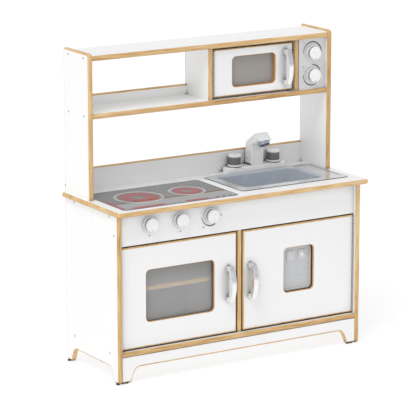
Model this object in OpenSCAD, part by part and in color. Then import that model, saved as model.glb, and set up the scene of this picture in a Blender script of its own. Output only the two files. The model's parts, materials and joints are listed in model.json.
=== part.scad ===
// Toy kitchen: a low cupboard with an oven and a dispenser door, a worktop with hob and
// sink, and an open upper shelf with a cubby, a microwave and a control plate.
// X runs to the right, Y to the back, Z up. Depths named in this file are measured back
// from the front edges of the lower side panels, and at() turns them into Y.

/* [Carcass] */
// Width over the two side panels
body_w = 840; // [780:5:900]
// Thickness of every board
board = 15; // [14:0.5:16]
// Depth of the lower side panels
base_d = 310; // [300:5:340]
// Depth of the upper side panels
upper_d = 150; // [140:5:155]
// Height of the upper side panels' tops
total_h = 939; // [920:1:980]
// Height of the worktop's upper face
worktop_z = 512; // [505:1:520]
// Thickness of the worktop
worktop_t = 14; // [12:0.5:16]
// How far the worktop stands out in front of the side panels
lip = 26; // [20:1:30]
// How far the worktop stands out past each side panel
side_lip = 12; // [8:1:16]
// Height of the base panel's upper face
floor_z = 93; // [90:1:98]
// Height of the middle shelf's upper face
shelf_z = 763; // [750:1:770]
// Height of the fascia under the worktop
fascia_h = 95.5; // [90:0.5:100]
// Height of the arched cut-outs between the feet
arch_h = 44.5; // [40:0.5:50]
// Lean of an arch's ends from upright, in degrees
arch_lean = 24; // [15:1:30]
// Length of the foot left at each end of an arch, front to back
foot_l = 27; // [24:1:34]
// Height of the felt glides under the feet
glide_h = 3; // [2:0.5:4]

/* [Doors] */
// Gap above and below each lower door
door_gap = 3; // [2.5:0.5:4]
// Gap at the free edge of each lower door
latch_gap = 3; // [2.5:0.5:4]
// Width of the microwave door
micro_w = 278.8; // [270:0.1:280]
// Width and height of the oven window
oven_win = [230, 154];
// Width and height of the dispenser window
disp_win = [106, 136];
// Width and height of the microwave window
micro_win = [152, 91];
// Corner radius of the windows
win_r = 13; // [10:1:16]
// Thickness of the window panes
pane_t = 2; // [1.5:0.5:3]
// Length of each door handle
handle_l = 108; // [100:1:116]
// Width of each door handle
handle_w = 16; // [14:1:18]
// How far each handle stands out at its middle
handle_out = 36; // [32:1:38]

/* [Hinges] */
// Outer radius of the hinge knuckles
knuckle_r = 2; // [1.9:0.05:2.1]
// Radius of the hinge pins
hinge_pin_r = 0.75; // [0.6:0.05:0.9]
// Thickness of the hinge leaves
leaf_t = 0.8; // [0.6:0.1:1]
// Length of one knuckle
knuckle_l = 9; // [8:1:16]
// Gap between neighbouring knuckles
knuckle_gap = 1; // [0.4:0.1:1.5]

/* [Worktop fittings] */
// Width and depth of the hob plate
hob_size = [386, 234];
// Outer ring radii of the large and the small burner
burner_r = [73, 54.6];
// Width and depth of the sink's rim
sink_size = [382, 222];
// Width and depth of the sink's bowl
bowl_size = [273, 164];
// Depth of the sink's bowl
bowl_depth = 70; // [50:1:80]
// Length of the tap's base bar
tap_l = 218; // [200:2:230]
// Distance of each tap handle from the spout
tap_handle_x = 70; // [66:1:74]

/* [Knobs] */
// Radius of a knob's front cap
knob_r = 20; // [18:0.5:21]
// Height of a knob in front of its panel
knob_h = 20.5; // [18:0.5:23]
// Radius of the knobs' and tap handles' shafts
shaft_r = 4; // [3.5:0.25:4.5]
// Spacing of the hob knobs along the fascia
knob_pitch = 103; // [98:1:108]
// Spacing of the control knobs
control_pitch = 68; // [64:1:72]

/* [Hidden] */
$fn = 64;
eps = 0.5;

// Main planes
half_w = body_w / 2;
in_x = half_w - board;
front = lip - (base_d + lip) / 2;
top_z = worktop_z - worktop_t;
fascia_z = top_z - fascia_h;
roof_z = total_h - 7.5;
plinth_y = 3;
face_y = 15;
upper_y = base_d - upper_d;
shelf_y = upper_y + 4;
upper_face_y = upper_y + 14;
micro_face_y = upper_face_y + 3;
back_t = 3;
back_y = base_d - back_t - 1;
control_x = in_x - 94.5 - board;
door_x0 = board / 2 + latch_gap;
hinge_gap = 3.2;
door_x1 = in_x - hinge_gap;
door_z0 = floor_z + door_gap;
door_z1 = fascia_z - door_gap;
door_mid_z = (door_z0 + door_z1) / 2;
disp_mid_z = door_mid_z + 10.5;
catch_z = door_mid_z + 75;
micro_x0 = board / 2 + hinge_gap;
micro_z0 = shelf_z + 4;
micro_z1 = roof_z - board - 4.5;
micro_mid_x = micro_x0 + micro_w / 2;
micro_mid_z = (micro_z0 + micro_z1) / 2;
oven_shelf_z = floor_z + 175;
oven_shelf_y = 45;
rail_rows = [36, 242];
rail_d = 24;
splash_t = 10;
splash_h = 65;
cubby_rail_t = 12;
cubby_rail_h = 31;
running = 0.05;

// Fastener rows as [depth, height], the same on both sides
screw_len = 45;
screw_head_r = 3.6;
screw_head_t = 1.6;
screw_shank_r = 2.2;
base_rows = [[259, floor_z - board / 2], [50, floor_z - board / 2]];
fascia_rows = [[face_y + board / 2, fascia_z + 35]];
rail_screw_rows = [for (y = rail_rows) [y + rail_d / 2, top_z - board / 2]];
splash_rows = [[base_d - splash_t / 2, worktop_z + 20]];
shelf_rows = [[280, shelf_z - board / 2], [190, shelf_z - board / 2]];
roof_rows = [[280, roof_z - board / 2], [190, roof_z - board / 2]];
dowel_r = 4;
dowel_rows = [upper_y + 25, upper_y + 125];

// Hinge geometry, from the pin's axis: frame face at -frame_off, door edge at edge_off
frame_off = 2.15;
edge_off = hinge_gap - frame_off;
pin_off = 2.4;
leaf_d = 14;

// Worktop fittings
hob_x = -half_w / 2 + 6;
hob_y = 118;
hob_t = 2;
print_t = 0.3;
burner_x = [hob_x - 75, hob_x + 88];
burner_y = 122;
burner_ring_w = 1.6;
hob_mark_w = 6;
hob_mark_d = 11;
hob_front_marks = [[-162, -53], [18, 93]];
sink_x = half_w / 2 + 1;
sink_y = 144;
rim_t = 2;
bowl_x = sink_x - 17.5;
bowl_y = 154;
tap_x = sink_x + 6;
tap_y = 276;
tap_d = 40;
tap_base_h = 17;
tap_z = worktop_z + tap_base_h;
spout_w = 45;
spout_d = 37;
spout_bend_z = worktop_z + 76;
spout_in_r = 11;
bend_y = tap_y - spout_d / 2 - spout_in_r;
spout_out_r = spout_in_r + spout_d;
spout_back = [[spout_out_r, 2], [spout_out_r - 4, 13], [spout_out_r - 14, 23]];
spout_brow = [[-6, spout_out_r - 1.5], [-16, spout_out_r - 1], [-25, spout_out_r - 6]];
nose_top = [-37, spout_out_r - 23];
nose_low = [-9, spout_out_r - 41];

// Knobs
knob_z = fascia_z + 57.5;
knob_base_r = knob_r + 2.5;
dial_r = 33;
dial_w = 1.6;
control_mid_x = (control_x + board + in_x) / 2;
control_mid_z = (shelf_z + roof_z - board) / 2;
control_t = 12;
handle_x = 29.5;
micro_handle_x = micro_x0 + micro_w - 27;
screw_z = handle_l / 2 - 8;

// Depth to Y
function at(depth) = front + depth;

// Box between two X values, two depths and two heights
module slab(x0, x1, y0, y1, z0, z1) {
  translate([x0, at(y0), z0]) cube([x1 - x0, y1 - y0, z1 - z0]);
}

// Rectangle with round corners, centred
module round_rect(w, h, r) {
  square([w - 2 * r, h], center = true);
  square([w, h - 2 * r], center = true);
  for (x = [-1, 1], y = [-1, 1]) {
    translate([x * (w / 2 - r), y * (h / 2 - r)]) circle(r);
  }
}

// Flat plate lying in XY, centred on a point, with its underside at z
module flat_plate(x, y, z, w, d, t, r) {
  translate([x, at(y), z]) linear_extrude(t) round_rect(w, d, r);
}

// Upright plate facing the front, centred on [x, z], from depth y backwards
module upright_plate(x, y, z, w, h, t, r) {
  translate([x, at(y) + t, z]) rotate([90, 0, 0]) linear_extrude(t) round_rect(w, h, r);
}

// One wood screw along +Z, head first, or its bore when grow is positive
module wood_screw(grow = 0) {
  translate([0, 0, grow > 0 ? -1 : 0]) {
    cylinder(r = screw_head_r + grow, h = screw_head_t + (grow > 0 ? 1 : 0));
  }
  cylinder(r = screw_shank_r + grow, h = screw_len + grow);
}

// The same rows of screws driven in from both sides
module side_screws(rows, grow = 0) {
  for (s = [-1, 1], p = rows) {
    translate([s * half_w, at(p[0]), p[1]]) rotate([0, -90 * s, 0]) wood_screw(grow);
  }
}

module dowels(grow = 0) {
  for (s = [-1, 1], y = dowel_rows) {
    translate([s * (half_w - board / 2), at(y), top_z - 20 - grow]) {
      cylinder(r = dowel_r + grow, h = worktop_t + 40 + 2 * grow);
    }
  }
}

// Pegs half in the upright boards and half under the oven shelf
module pegs(grow = 0) {
  for (x = [-in_x, -board / 2], y = [75, 265]) {
    translate([x - 8 - grow, at(y), oven_shelf_z - board - 2.5]) rotate([0, 90, 0]) {
      cylinder(r = 2.5 + grow, h = 16 + 2 * grow);
    }
  }
}

// Lower side panel at +X, with an arch between its two feet
module base_side() {
  difference() {
    slab(in_x, half_w, 0, base_d, glide_h, top_z);
    translate([in_x - eps, at(base_d / 2 - 3), 0]) rotate([90, 0, 90]) {
      linear_extrude(board + 2 * eps) arch(base_d - 2 * foot_l);
    }
  }
}

// Flat-topped arch open to the floor, w wide there, with slanting ends and round corners
module arch(w) {
  r = 20;
  cx = w / 2 - (arch_h - r) * tan(arch_lean) - r / cos(arch_lean);
  tx = cx + r * cos(arch_lean);
  tz = arch_h - r + r * sin(arch_lean);
  polygon([[-w / 2, 0], [-w / 2, -5], [w / 2, -5], [w / 2, 0], [tx, tz], [cx, arch_h],
    [-cx, arch_h], [-tx, tz]]);
  for (s = [-1, 1]) translate([s * cx, arch_h - r]) circle(r);
}

module base_side_left() {
  color("white") difference() {
    mirror([1, 0, 0]) base_side();
    side_screws(concat(base_rows, fascia_rows, rail_screw_rows), running);
    dowels(running);
    pegs(running);
  }
}

module base_side_right() {
  color("white") difference() {
    base_side();
    side_screws(concat(base_rows, fascia_rows, rail_screw_rows), running);
    dowels(running);
  }
}

module base_panel() {
  color("burlywood") difference() {
    slab(-in_x, in_x, plinth_y, back_y, floor_z - board, floor_z);
    side_screws(base_rows, running);
  }
}

module kick_plate() {
  color("white") difference() {
    slab(-in_x, in_x, plinth_y, plinth_y + board, glide_h, floor_z - board);
    translate([0, at(plinth_y + board) + eps, 0]) rotate([90, 0, 0]) {
      linear_extrude(board + 2 * eps) arch(2 * in_x - 2 * foot_l);
    }
  }
}

// The divider stands behind the fascia and under the worktop rails
module centre_divider() {
  color("burlywood") difference() {
    slab(-board / 2, board / 2, face_y, back_y, floor_z, top_z - board);
    slab(-board, board, face_y - eps, face_y + board, fascia_z, top_z);
    pegs(running);
  }
}

module worktop_rails() {
  color("burlywood") difference() {
    for (y = rail_rows) slab(-in_x, in_x, y, y + rail_d, top_z - board, top_z);
    side_screws(rail_screw_rows, running);
  }
}

module fascia() {
  color("whitesmoke") difference() {
    slab(-in_x, in_x, face_y, face_y + board, fascia_z, top_z);
    side_screws(fascia_rows, running);
    for (k = [-1, 0, 1]) {
      translate([hob_x + k * knob_pitch, at(face_y) - eps, knob_z]) rotate([-90, 0, 0]) {
        cylinder(r = shaft_r + running, h = board + 2 * eps);
      }
    }
  }
}

module lower_back_panel() {
  color("silver") slab(-in_x, in_x, back_y, back_y + back_t, floor_z - board, top_z);
}

module oven_shelf() {
  color("burlywood") {
    slab(-in_x, -board / 2, oven_shelf_y, back_y - 6, oven_shelf_z - board, oven_shelf_z);
  }
}

module shelf_pegs() {
  color("silver") pegs();
}

module worktop() {
  color("ivory") difference() {
    flat_plate(0, (base_d - lip) / 2, top_z, body_w + 2 * side_lip, base_d + lip, worktop_t, 10);
    flat_plate(bowl_x, bowl_y, top_z - eps, bowl_size[0] + 12, bowl_size[1] + 10, 20, 22);
    dowels(running);
    for (x = [-1, 1]) {
      translate([tap_x + x * 45, at(tap_y), top_z - eps]) cylinder(r = 5 + running, h = 20);
    }
  }
}

// Upper side panel at +X, with a round top front corner
module upper_side() {
  corner_r = 12;
  slab(in_x, half_w, upper_y + corner_r, base_d, worktop_z, total_h);
  slab(in_x, half_w, upper_y, base_d, worktop_z, total_h - corner_r);
  translate([in_x, at(upper_y + corner_r), total_h - corner_r]) rotate([0, 90, 0]) {
    cylinder(r = corner_r, h = board);
  }
}

module upper_side_left() {
  color("white") difference() {
    mirror([1, 0, 0]) upper_side();
    side_screws(concat(splash_rows, shelf_rows, roof_rows), running);
    dowels(running);
  }
}

module upper_side_right() {
  color("white") difference() {
    upper_side();
    side_screws(concat(splash_rows, shelf_rows, roof_rows), running);
    dowels(running);
  }
}

module top_panel() {
  color("whitesmoke") difference() {
    slab(-in_x, in_x, shelf_y, base_d, roof_z - board, roof_z);
    side_screws(roof_rows, running);
  }
}

module middle_shelf() {
  color("whitesmoke") difference() {
    slab(-in_x, in_x, shelf_y, base_d, shelf_z - board, shelf_z);
    side_screws(shelf_rows, running);
  }
}

module cubby_divider() {
  color("burlywood") {
    slab(-board / 2, board / 2, upper_face_y, back_y, shelf_z, roof_z - board);
  }
}

module control_divider() {
  color("burlywood") {
    slab(control_x, control_x + board, upper_face_y, back_y, shelf_z, roof_z - board);
  }
}

module cubby_rail() {
  color("white") {
    slab(-in_x, -board / 2, base_d - cubby_rail_t, base_d, shelf_z, shelf_z + cubby_rail_h);
  }
}

module backsplash() {
  color("white") difference() {
    slab(-in_x, in_x, base_d - splash_t, base_d, worktop_z, worktop_z + splash_h);
    side_screws(splash_rows, running);
  }
}

module microwave_back() {
  color("silver") slab(-board / 2, in_x, back_y, back_y + back_t, shelf_z, roof_z - board);
}

module control_plate() {
  color("lightgray") difference() {
    slab(control_x + board, in_x, upper_face_y, upper_face_y + control_t, shelf_z, roof_z - board);
    for (k = [-1, 1]) {
      translate([control_mid_x, at(upper_face_y) - eps, control_mid_z + k * control_pitch / 2]) {
        rotate([-90, 0, 0]) cylinder(r = shaft_r + running, h = control_t + 2 * eps);
      }
    }
  }
}

// A glide under each end of both side panels and under both ends of the kick plate
module foot_glides() {
  side_x = half_w - board / 2;
  color("dimgray") for (s = [-1, 1]) {
    for (y = [foot_l / 2, base_d - foot_l / 2]) {
      translate([s * side_x, at(y), 0]) cylinder(r = 6.5, h = glide_h);
    }
    translate([s * (in_x - 14), at(plinth_y + board / 2), 0]) cylinder(r = 6.5, h = glide_h);
  }
}

module panel_screws() {
  rows = concat(base_rows, fascia_rows, rail_screw_rows, splash_rows, shelf_rows, roof_rows);
  color("darkgray") side_screws(rows);
}

module joining_dowels() {
  color("tan") dowels();
}

// Catch body with two pole plates standing out of its face
module catch_body(x, y, z) {
  slab(x - 8.5, x + 8.5, y + 1, y + 18, z - 9, z + 9);
  for (s = [-1, 1]) slab(x - 6, x + 6, y, y + 4, z + s * 3 - 0.8, z + s * 3 + 0.8);
}

module magnet_catches() {
  catch_y = face_y + board + 2;
  color("ghostwhite") {
    for (s = [-1, 1]) catch_body(s * (board / 2 + 8.5), catch_y, catch_z);
    catch_body(control_x - 8.5, micro_face_y + board + 2, micro_mid_z);
  }
}

// Steel plate on the back of a door, facing its catch
module strike(x, y, z) {
  upright_plate(x, y, z, 15, 18, 1.5, 2);
}

// One hinge leaf along +Z. side is -1 for the frame's leaf and 1 for the door's leaf,
// and odd chooses which knuckles it owns. The pin's axis is the local Z axis.
module hinge_leaf(side, len, odd) {
  x0 = side < 0 ? -frame_off : edge_off - leaf_t;
  count = floor(len / knuckle_l);
  pitch = len / count;
  difference() {
    union() {
      translate([x0, pin_off + 0.4, 0]) cube([leaf_t, leaf_d, len]);
      for (k = [odd:2:count - 1]) translate([0, 0, k * pitch + knuckle_gap / 2]) {
        cylinder(r = knuckle_r, h = pitch - knuckle_gap);
        translate([x0, 0, 0]) cube([leaf_t, pin_off + 0.5, pitch - knuckle_gap]);
      }
    }
    translate([0, 0, -eps]) cylinder(r = hinge_pin_r + running, h = len + 2 * eps);
  }
}

// Places a hinge: at its pin axis, with the door towards +X, or -X when side is -1
module at_hinge(which) {
  x = [-in_x + frame_off, in_x - frame_off, board / 2 + frame_off][which];
  y = [face_y, face_y, micro_face_y][which] - pin_off;
  z = [door_z0, door_z0, micro_z0][which] + 3;
  translate([x, at(y), z]) mirror([which == 1 ? 1 : 0, 0, 0]) children();
}

function hinge_len(which) = which == 2 ? micro_z1 - micro_z0 - 6 : door_z1 - door_z0 - 6;

module hinge_frame_leaves() {
  color("gray") for (k = [0:2]) at_hinge(k) hinge_leaf(-1, hinge_len(k), 0);
}

module hinge_pins() {
  color("dimgray") for (k = [0:2]) at_hinge(k) cylinder(r = hinge_pin_r, h = hinge_len(k));
}

// Door board standing upright, less its window and the clearance holes of its handle
module door(x, y, z, w, h, win_x, win_z, win, hx, hz) {
  difference() {
    upright_plate(x, y, z, w, h, board, 2);
    upright_plate(win_x, y - eps, win_z, win[0], win[1], board + 2 * eps, win_r);
    for (s = [-1, 1]) {
      translate([hx, at(y) - eps, hz + s * screw_z]) rotate([-90, 0, 0]) {
        cylinder(r = 2.25, h = board + 2 * eps);
      }
    }
  }
}

// Handle standing out towards the front: a straight grip inside, an arc outside
module handle(x, y, z) {
  gap = 18;
  end_out = 22;
  rise = handle_out - end_out;
  arc_r = (handle_l * handle_l / 4 + rise * rise) / (2 * rise);
  translate([x - handle_w / 2, at(y), z]) difference() {
    rotate([90, 0, 90]) linear_extrude(handle_w) difference() {
      intersection() {
        translate([-handle_out + arc_r, 0]) circle(arc_r, $fn = 180);
        round_rect(2 * handle_out, handle_l, 20);
        translate([-handle_out - 1, -handle_l / 2]) square([handle_out + 1, handle_l]);
      }
      translate([-gap, -handle_l / 2 + 15]) square([gap + eps, handle_l - 30]);
    }
    for (s = [-1, 1]) {
      translate([handle_w / 2, -14, s * screw_z]) rotate([-90, 0, 0]) cylinder(r = 2.05, h = 15);
    }
  }
}

// Two screws from the back of a door into its handle
module handle_screws(x, y, z) {
  for (s = [-1, 1]) translate([x, at(y + board), z + s * screw_z]) {
    rotate([90, 0, 0]) cylinder(r = 2, h = board + 12);
    rotate([-90, 0, 0]) cylinder(r = 3.8, h = 1.6);
  }
}

module window_pane(x, y, z, win) {
  upright_plate(x, y + board, z, win[0] + 20, win[1] + 20, pane_t, win_r);
}

module oven_door() {
  color("whitesmoke") door(-(door_x0 + door_x1) / 2, face_y, door_mid_z, door_x1 - door_x0,
    door_z1 - door_z0, -(door_x0 + door_x1) / 2 + 2.5, door_mid_z, oven_win,
    -door_x0 - handle_x, door_mid_z);
}

module oven_window() {
  color("gray", 0.5) {
    window_pane(-(door_x0 + door_x1) / 2 + 2.5, face_y, door_mid_z, oven_win);
  }
}

module oven_handle() {
  color("silver") handle(-door_x0 - handle_x, face_y, door_mid_z);
}

module oven_handle_screws() {
  color("dimgray") handle_screws(-door_x0 - handle_x, face_y, door_mid_z);
}

module oven_hinge_leaf() {
  color("gray") at_hinge(0) hinge_leaf(1, hinge_len(0), 1);
}

module oven_strike_plate() {
  color("silver") strike(-door_x0 - 9, face_y + board, catch_z);
}

module cupboard_door() {
  color("whitesmoke") door((door_x0 + door_x1) / 2, face_y, door_mid_z, door_x1 - door_x0,
    door_z1 - door_z0, (door_x0 + door_x1) / 2 + 2, disp_mid_z, disp_win,
    door_x0 + handle_x - 4, door_mid_z);
}

// Tray behind the dispenser window with a raised border that fits inside the window
module dispenser_panel() {
  x = (door_x0 + door_x1) / 2 + 2;
  color("lightgray") {
    upright_plate(x, face_y + board, disp_mid_z, disp_win[0] + 16, disp_win[1] + 16, 3, win_r);
    difference() {
      upright_plate(x, face_y + board - 3, disp_mid_z, disp_win[0] - 1, disp_win[1] - 1, 3, win_r);
      upright_plate(x, face_y + board - 4, disp_mid_z, disp_win[0] - 13, disp_win[1] - 13, 4, 9);
    }
  }
}

module dispenser_tiles() {
  x = (door_x0 + door_x1) / 2 + 2;
  color("gainsboro") for (s = [-1, 1]) {
    upright_plate(x + s * 20, face_y + board - 2, disp_mid_z + 38, 27, 33, 2, 4);
  }
}

module cupboard_handle() {
  color("silver") handle(door_x0 + handle_x - 4, face_y, door_mid_z);
}

module cupboard_handle_screws() {
  color("dimgray") handle_screws(door_x0 + handle_x - 4, face_y, door_mid_z);
}

module cupboard_hinge_leaf() {
  color("gray") at_hinge(1) hinge_leaf(1, hinge_len(1), 1);
}

module cupboard_strike_plate() {
  color("silver") strike(door_x0 + 9, face_y + board, catch_z);
}

module microwave_door() {
  color("whitesmoke") door(micro_mid_x, micro_face_y, micro_mid_z, micro_w, micro_z1 - micro_z0,
    micro_mid_x + 1, micro_mid_z, micro_win, micro_handle_x, micro_mid_z);
}

module microwave_window() {
  color("gray", 0.5) window_pane(micro_mid_x + 1, micro_face_y, micro_mid_z, micro_win);
}

module microwave_handle() {
  color("silver") handle(micro_handle_x, micro_face_y, micro_mid_z);
}

module microwave_handle_screws() {
  color("dimgray") handle_screws(micro_handle_x, micro_face_y, micro_mid_z);
}

module microwave_hinge_leaf() {
  color("gray") at_hinge(2) hinge_leaf(1, hinge_len(2), 1);
}

module microwave_strike_plate() {
  color("silver") strike(micro_x0 + micro_w - 9, micro_face_y + board, micro_mid_z);
}

module hob_plate() {
  color("gray") flat_plate(hob_x, hob_y, worktop_z, hob_size[0], hob_size[1], hob_t, 12);
}

// Flat ring on the hob plate
module printed_ring(x, y, outer, inner) {
  translate([x, at(y), worktop_z + hob_t]) difference() {
    cylinder(r = outer, h = print_t);
    translate([0, 0, -eps]) cylinder(r = inner, h = 2);
  }
}

// Straight mark on the hob plate
module hob_line(x0, x1, y0, y1) {
  slab(x0, x1, y0, y1, worktop_z + hob_t, worktop_z + hob_t + print_t);
}

// Heating zones and outer rings of both burners, and the marks along the plate's edges
module hob_print() {
  mark_y = hob_y - hob_size[1] / 2 + 3;
  mark_x = hob_x - hob_size[0] / 2 + 2;
  color("crimson") {
    for (k = [0, 1]) {
      for (r = [burner_r[k], burner_r[k] - 5]) {
        printed_ring(burner_x[k], burner_y, r, r - burner_ring_w);
      }
      printed_ring(burner_x[k], burner_y, burner_r[k] * 0.8, burner_r[k] * 0.28);
    }
    for (span = hob_front_marks) {
      hob_line(hob_x + span[0], hob_x + span[1], mark_y, mark_y + hob_mark_d);
    }
    hob_line(mark_x, mark_x + hob_mark_w, mark_y + 5, mark_y + 112);
  }
}

// Crescent printed around a knob: one circle less a smaller one set off to a side
module crescent(x, y, z, turn) {
  translate([x, at(y), z]) rotate([90, 0, 0]) rotate([0, 0, turn]) linear_extrude(print_t) {
    difference() {
      circle(dial_r);
      translate([-dial_w, 0]) circle(dial_r - dial_w);
      translate([-dial_r - 1, -dial_r - 1]) square([dial_r + 1, 2 * dial_r + 2]);
    }
  }
}

// Small ring-shaped icon beside a knob
module icon(x, y, z, r) {
  translate([x, at(y), z]) rotate([90, 0, 0]) linear_extrude(print_t) difference() {
    circle(r);
    circle(r * 0.6);
  }
}

module dial_prints() {
  right_x = hob_x + knob_pitch;
  color("dimgray") {
    crescent(right_x, face_y, knob_z, -110);
    icon(right_x - 26, face_y, knob_z - 34, 3);
    for (x = [-1, 0]) icon(hob_x + x * knob_pitch, face_y, knob_z - 34, 1.8);
    for (s = [-1, 1]) {
      crescent(control_mid_x, upper_face_y, control_mid_z + s * control_pitch / 2, s > 0 ? 80 : -115);
      icon(control_x + board + 13, upper_face_y, control_mid_z + s * control_pitch / 2 + 29, 3);
    }
  }
}

// Drop-in sink: a wide rim with a deep bowl at the left and a drainer at the right
module sink_basin() {
  wall = 2;
  color("lightsteelblue") difference() {
    union() {
      flat_plate(sink_x, sink_y, worktop_z, sink_size[0], sink_size[1], rim_t, 14);
      flat_plate(bowl_x, bowl_y, worktop_z - bowl_depth, bowl_size[0] + 2 * wall,
        bowl_size[1] + 2 * wall, bowl_depth, 20);
    }
    flat_plate(bowl_x, bowl_y, worktop_z - bowl_depth + wall, bowl_size[0], bowl_size[1],
      bowl_depth + 10, 18);
    flat_plate(sink_x + 151, sink_y + 6, worktop_z + rim_t - 0.8, 56, sink_size[1] - 44, 2, 10);
  }
}

// Round-ended bar with two studs that pass through the worktop
module tap_base() {
  color("white") difference() {
    union() {
      flat_plate(tap_x, tap_y, worktop_z, tap_l, tap_d, tap_base_h - 3, tap_d / 2 - 0.01);
      flat_plate(tap_x, tap_y, tap_z - 3, tap_l - 4, tap_d - 4, 3, tap_d / 2 - 2.01);
      for (x = [-1, 1]) {
        translate([tap_x + x * 45, at(tap_y), top_z - 3]) cylinder(r = 5, h = worktop_t + 4);
      }
    }
    for (x = [-1, 1]) {
      translate([tap_x + x * tap_handle_x, at(tap_y), tap_z - 12]) {
        cylinder(r = shaft_r + running, h = 12 + eps);
      }
    }
  }
}

// Square column that leans forward into a short head, cut off square to its mouth. The
// profile runs from the column's foot up its back, over the head and back under it.
module tap_spout() {
  foot = tap_z - spout_bend_z;
  knee = spout_in_r * cos(45);
  color("white") difference() {
    translate([tap_x - spout_w / 2, at(bend_y), spout_bend_z]) rotate([90, 0, 90]) {
      linear_extrude(spout_w) {
        polygon(concat([[spout_in_r, foot], [spout_out_r, foot]], spout_back, spout_brow,
          [nose_top, nose_low, [0, spout_in_r], [knee, knee], [spout_in_r, 0]]));
      }
    }
    aerator_axis() translate([0, 0, -6]) cylinder(r = 8 + running, h = 8);
  }
}

// Local +Z points out of the spout's mouth, from the middle of its nose
module aerator_axis() {
  mid = (nose_top + nose_low) / 2;
  d = nose_low - nose_top;
  translate([tap_x, at(bend_y + mid[0]), spout_bend_z + mid[1]]) {
    rotate([90 + atan2(d[0], -d[1]), 0, 0]) children();
  }
}

module tap_aerator() {
  color("slategray") aerator_axis() difference() {
    union() {
      translate([0, 0, -5]) cylinder(r = 8, h = 6);
      translate([0, 0, 0.05]) cylinder(r1 = 19, r2 = 17.5, h = 9);
    }
    translate([0, 0, 4]) cylinder(r = 13, h = 6);
  }
}

// Turning handle: a wide flange, a narrower barrel and a round cap on a short stem
module tap_handle(side) {
  color("gray") translate([tap_x + side * tap_handle_x, at(tap_y), tap_z]) rotate_extrude($fn = 96) {
    polygon([[0, -11], [shaft_r, -11], [shaft_r, 0.4], [22.5, 0.4], [22.5, 4], [21.5, 5.5],
      [18.7, 6], [18.7, 30], [20.5, 31], [20.5, 36], [19, 38], [0, 38]]);
  }
}

module tap_handle_left() {
  tap_handle(-1);
}

module tap_handle_right() {
  tap_handle(1);
}

// Knob facing the front: flange, barrel and cap, and a shaft that snaps in behind the panel
module knob(x, y, z, panel_t) {
  barb = shaft_r + 0.7;
  color("silver") translate([x, at(y), z]) rotate([90, 0, 0]) difference() {
    rotate_extrude($fn = 96) {
      polygon([[0, -panel_t - 5], [shaft_r - 0.5, -panel_t - 5], [barb, -panel_t - 2],
        [barb, -panel_t - 0.4], [shaft_r, -panel_t - 0.4], [shaft_r, 0.6], [knob_base_r, 0.6],
        [knob_base_r, 3.5], [knob_base_r - 1, 4.5], [knob_r - 0.6, 5], [knob_r - 1, 15],
        [knob_r, 15.5], [knob_r, knob_h - 1.5], [knob_r - 1.5, knob_h], [0, knob_h]]);
    }
    translate([0, -knob_r + 4.5, knob_h - 0.6]) cylinder(r = 1.2, h = 2);
  }
}

module hob_knob_left() {
  knob(hob_x - knob_pitch, face_y, knob_z, board);
}

module hob_knob_middle() {
  knob(hob_x, face_y, knob_z, board);
}

module hob_knob_right() {
  knob(hob_x + knob_pitch, face_y, knob_z, board);
}

module control_knob_upper() {
  knob(control_mid_x, upper_face_y, control_mid_z + control_pitch / 2, control_t);
}

module control_knob_lower() {
  knob(control_mid_x, upper_face_y, control_mid_z - control_pitch / 2, control_t);
}

base_side_left();
base_side_right();
base_panel();
kick_plate();
centre_divider();
worktop_rails();
fascia();
lower_back_panel();
oven_shelf();
shelf_pegs();
worktop();
upper_side_left();
upper_side_right();
top_panel();
middle_shelf();
cubby_divider();
control_divider();
cubby_rail();
backsplash();
microwave_back();
control_plate();
foot_glides();
panel_screws();
joining_dowels();
magnet_catches();
hinge_frame_leaves();
hinge_pins();
oven_door();
oven_window();
oven_handle();
oven_handle_screws();
oven_hinge_leaf();
oven_strike_plate();
cupboard_door();
dispenser_panel();
dispenser_tiles();
cupboard_handle();
cupboard_handle_screws();
cupboard_hinge_leaf();
cupboard_strike_plate();
microwave_door();
microwave_window();
microwave_handle();
microwave_handle_screws();
microwave_hinge_leaf();
microwave_strike_plate();
hob_plate();
hob_print();
dial_prints();
sink_basin();
tap_base();
tap_spout();
tap_aerator();
tap_handle_left();
tap_handle_right();
hob_knob_left();
hob_knob_middle();
hob_knob_right();
control_knob_upper();
control_knob_lower();
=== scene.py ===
import bpy
import json
from math import acos, asin, atan2, cos, hypot, pi, radians, sin, tan
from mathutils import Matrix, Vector
from mathutils.geometry import tessellate_polygon


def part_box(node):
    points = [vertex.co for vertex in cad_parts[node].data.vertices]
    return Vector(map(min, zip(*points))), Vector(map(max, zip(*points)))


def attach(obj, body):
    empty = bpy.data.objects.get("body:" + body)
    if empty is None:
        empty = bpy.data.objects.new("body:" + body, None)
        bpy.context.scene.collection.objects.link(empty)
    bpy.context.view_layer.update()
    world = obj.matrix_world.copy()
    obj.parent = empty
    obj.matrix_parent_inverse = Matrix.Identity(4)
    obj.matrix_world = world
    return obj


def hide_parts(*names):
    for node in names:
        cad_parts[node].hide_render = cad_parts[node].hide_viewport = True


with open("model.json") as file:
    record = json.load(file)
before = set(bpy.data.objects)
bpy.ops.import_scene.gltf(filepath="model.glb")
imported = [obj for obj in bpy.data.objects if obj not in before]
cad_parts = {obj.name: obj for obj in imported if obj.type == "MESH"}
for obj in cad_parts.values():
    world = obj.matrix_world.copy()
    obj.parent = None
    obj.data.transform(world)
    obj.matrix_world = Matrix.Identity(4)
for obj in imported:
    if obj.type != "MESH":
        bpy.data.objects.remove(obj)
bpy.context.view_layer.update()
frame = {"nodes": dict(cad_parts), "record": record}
NODES = frame["nodes"]
RECORD = frame["record"]
BODY = {n: b for b, ns in RECORD["behaviour"]["bodies"].items() for n in ns}
MM = 0.001


# ---- node tools

def srgb(r, g, b):
    """Linear tone from display values of 0 to 255."""
    return tuple(((c / 255 + 0.055) / 1.055) ** 2.4 if c > 10 else c / 255 / 12.92 for c in (r, g, b))


def dim(tone, k):
    return tuple(c * k for c in tone)


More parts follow.
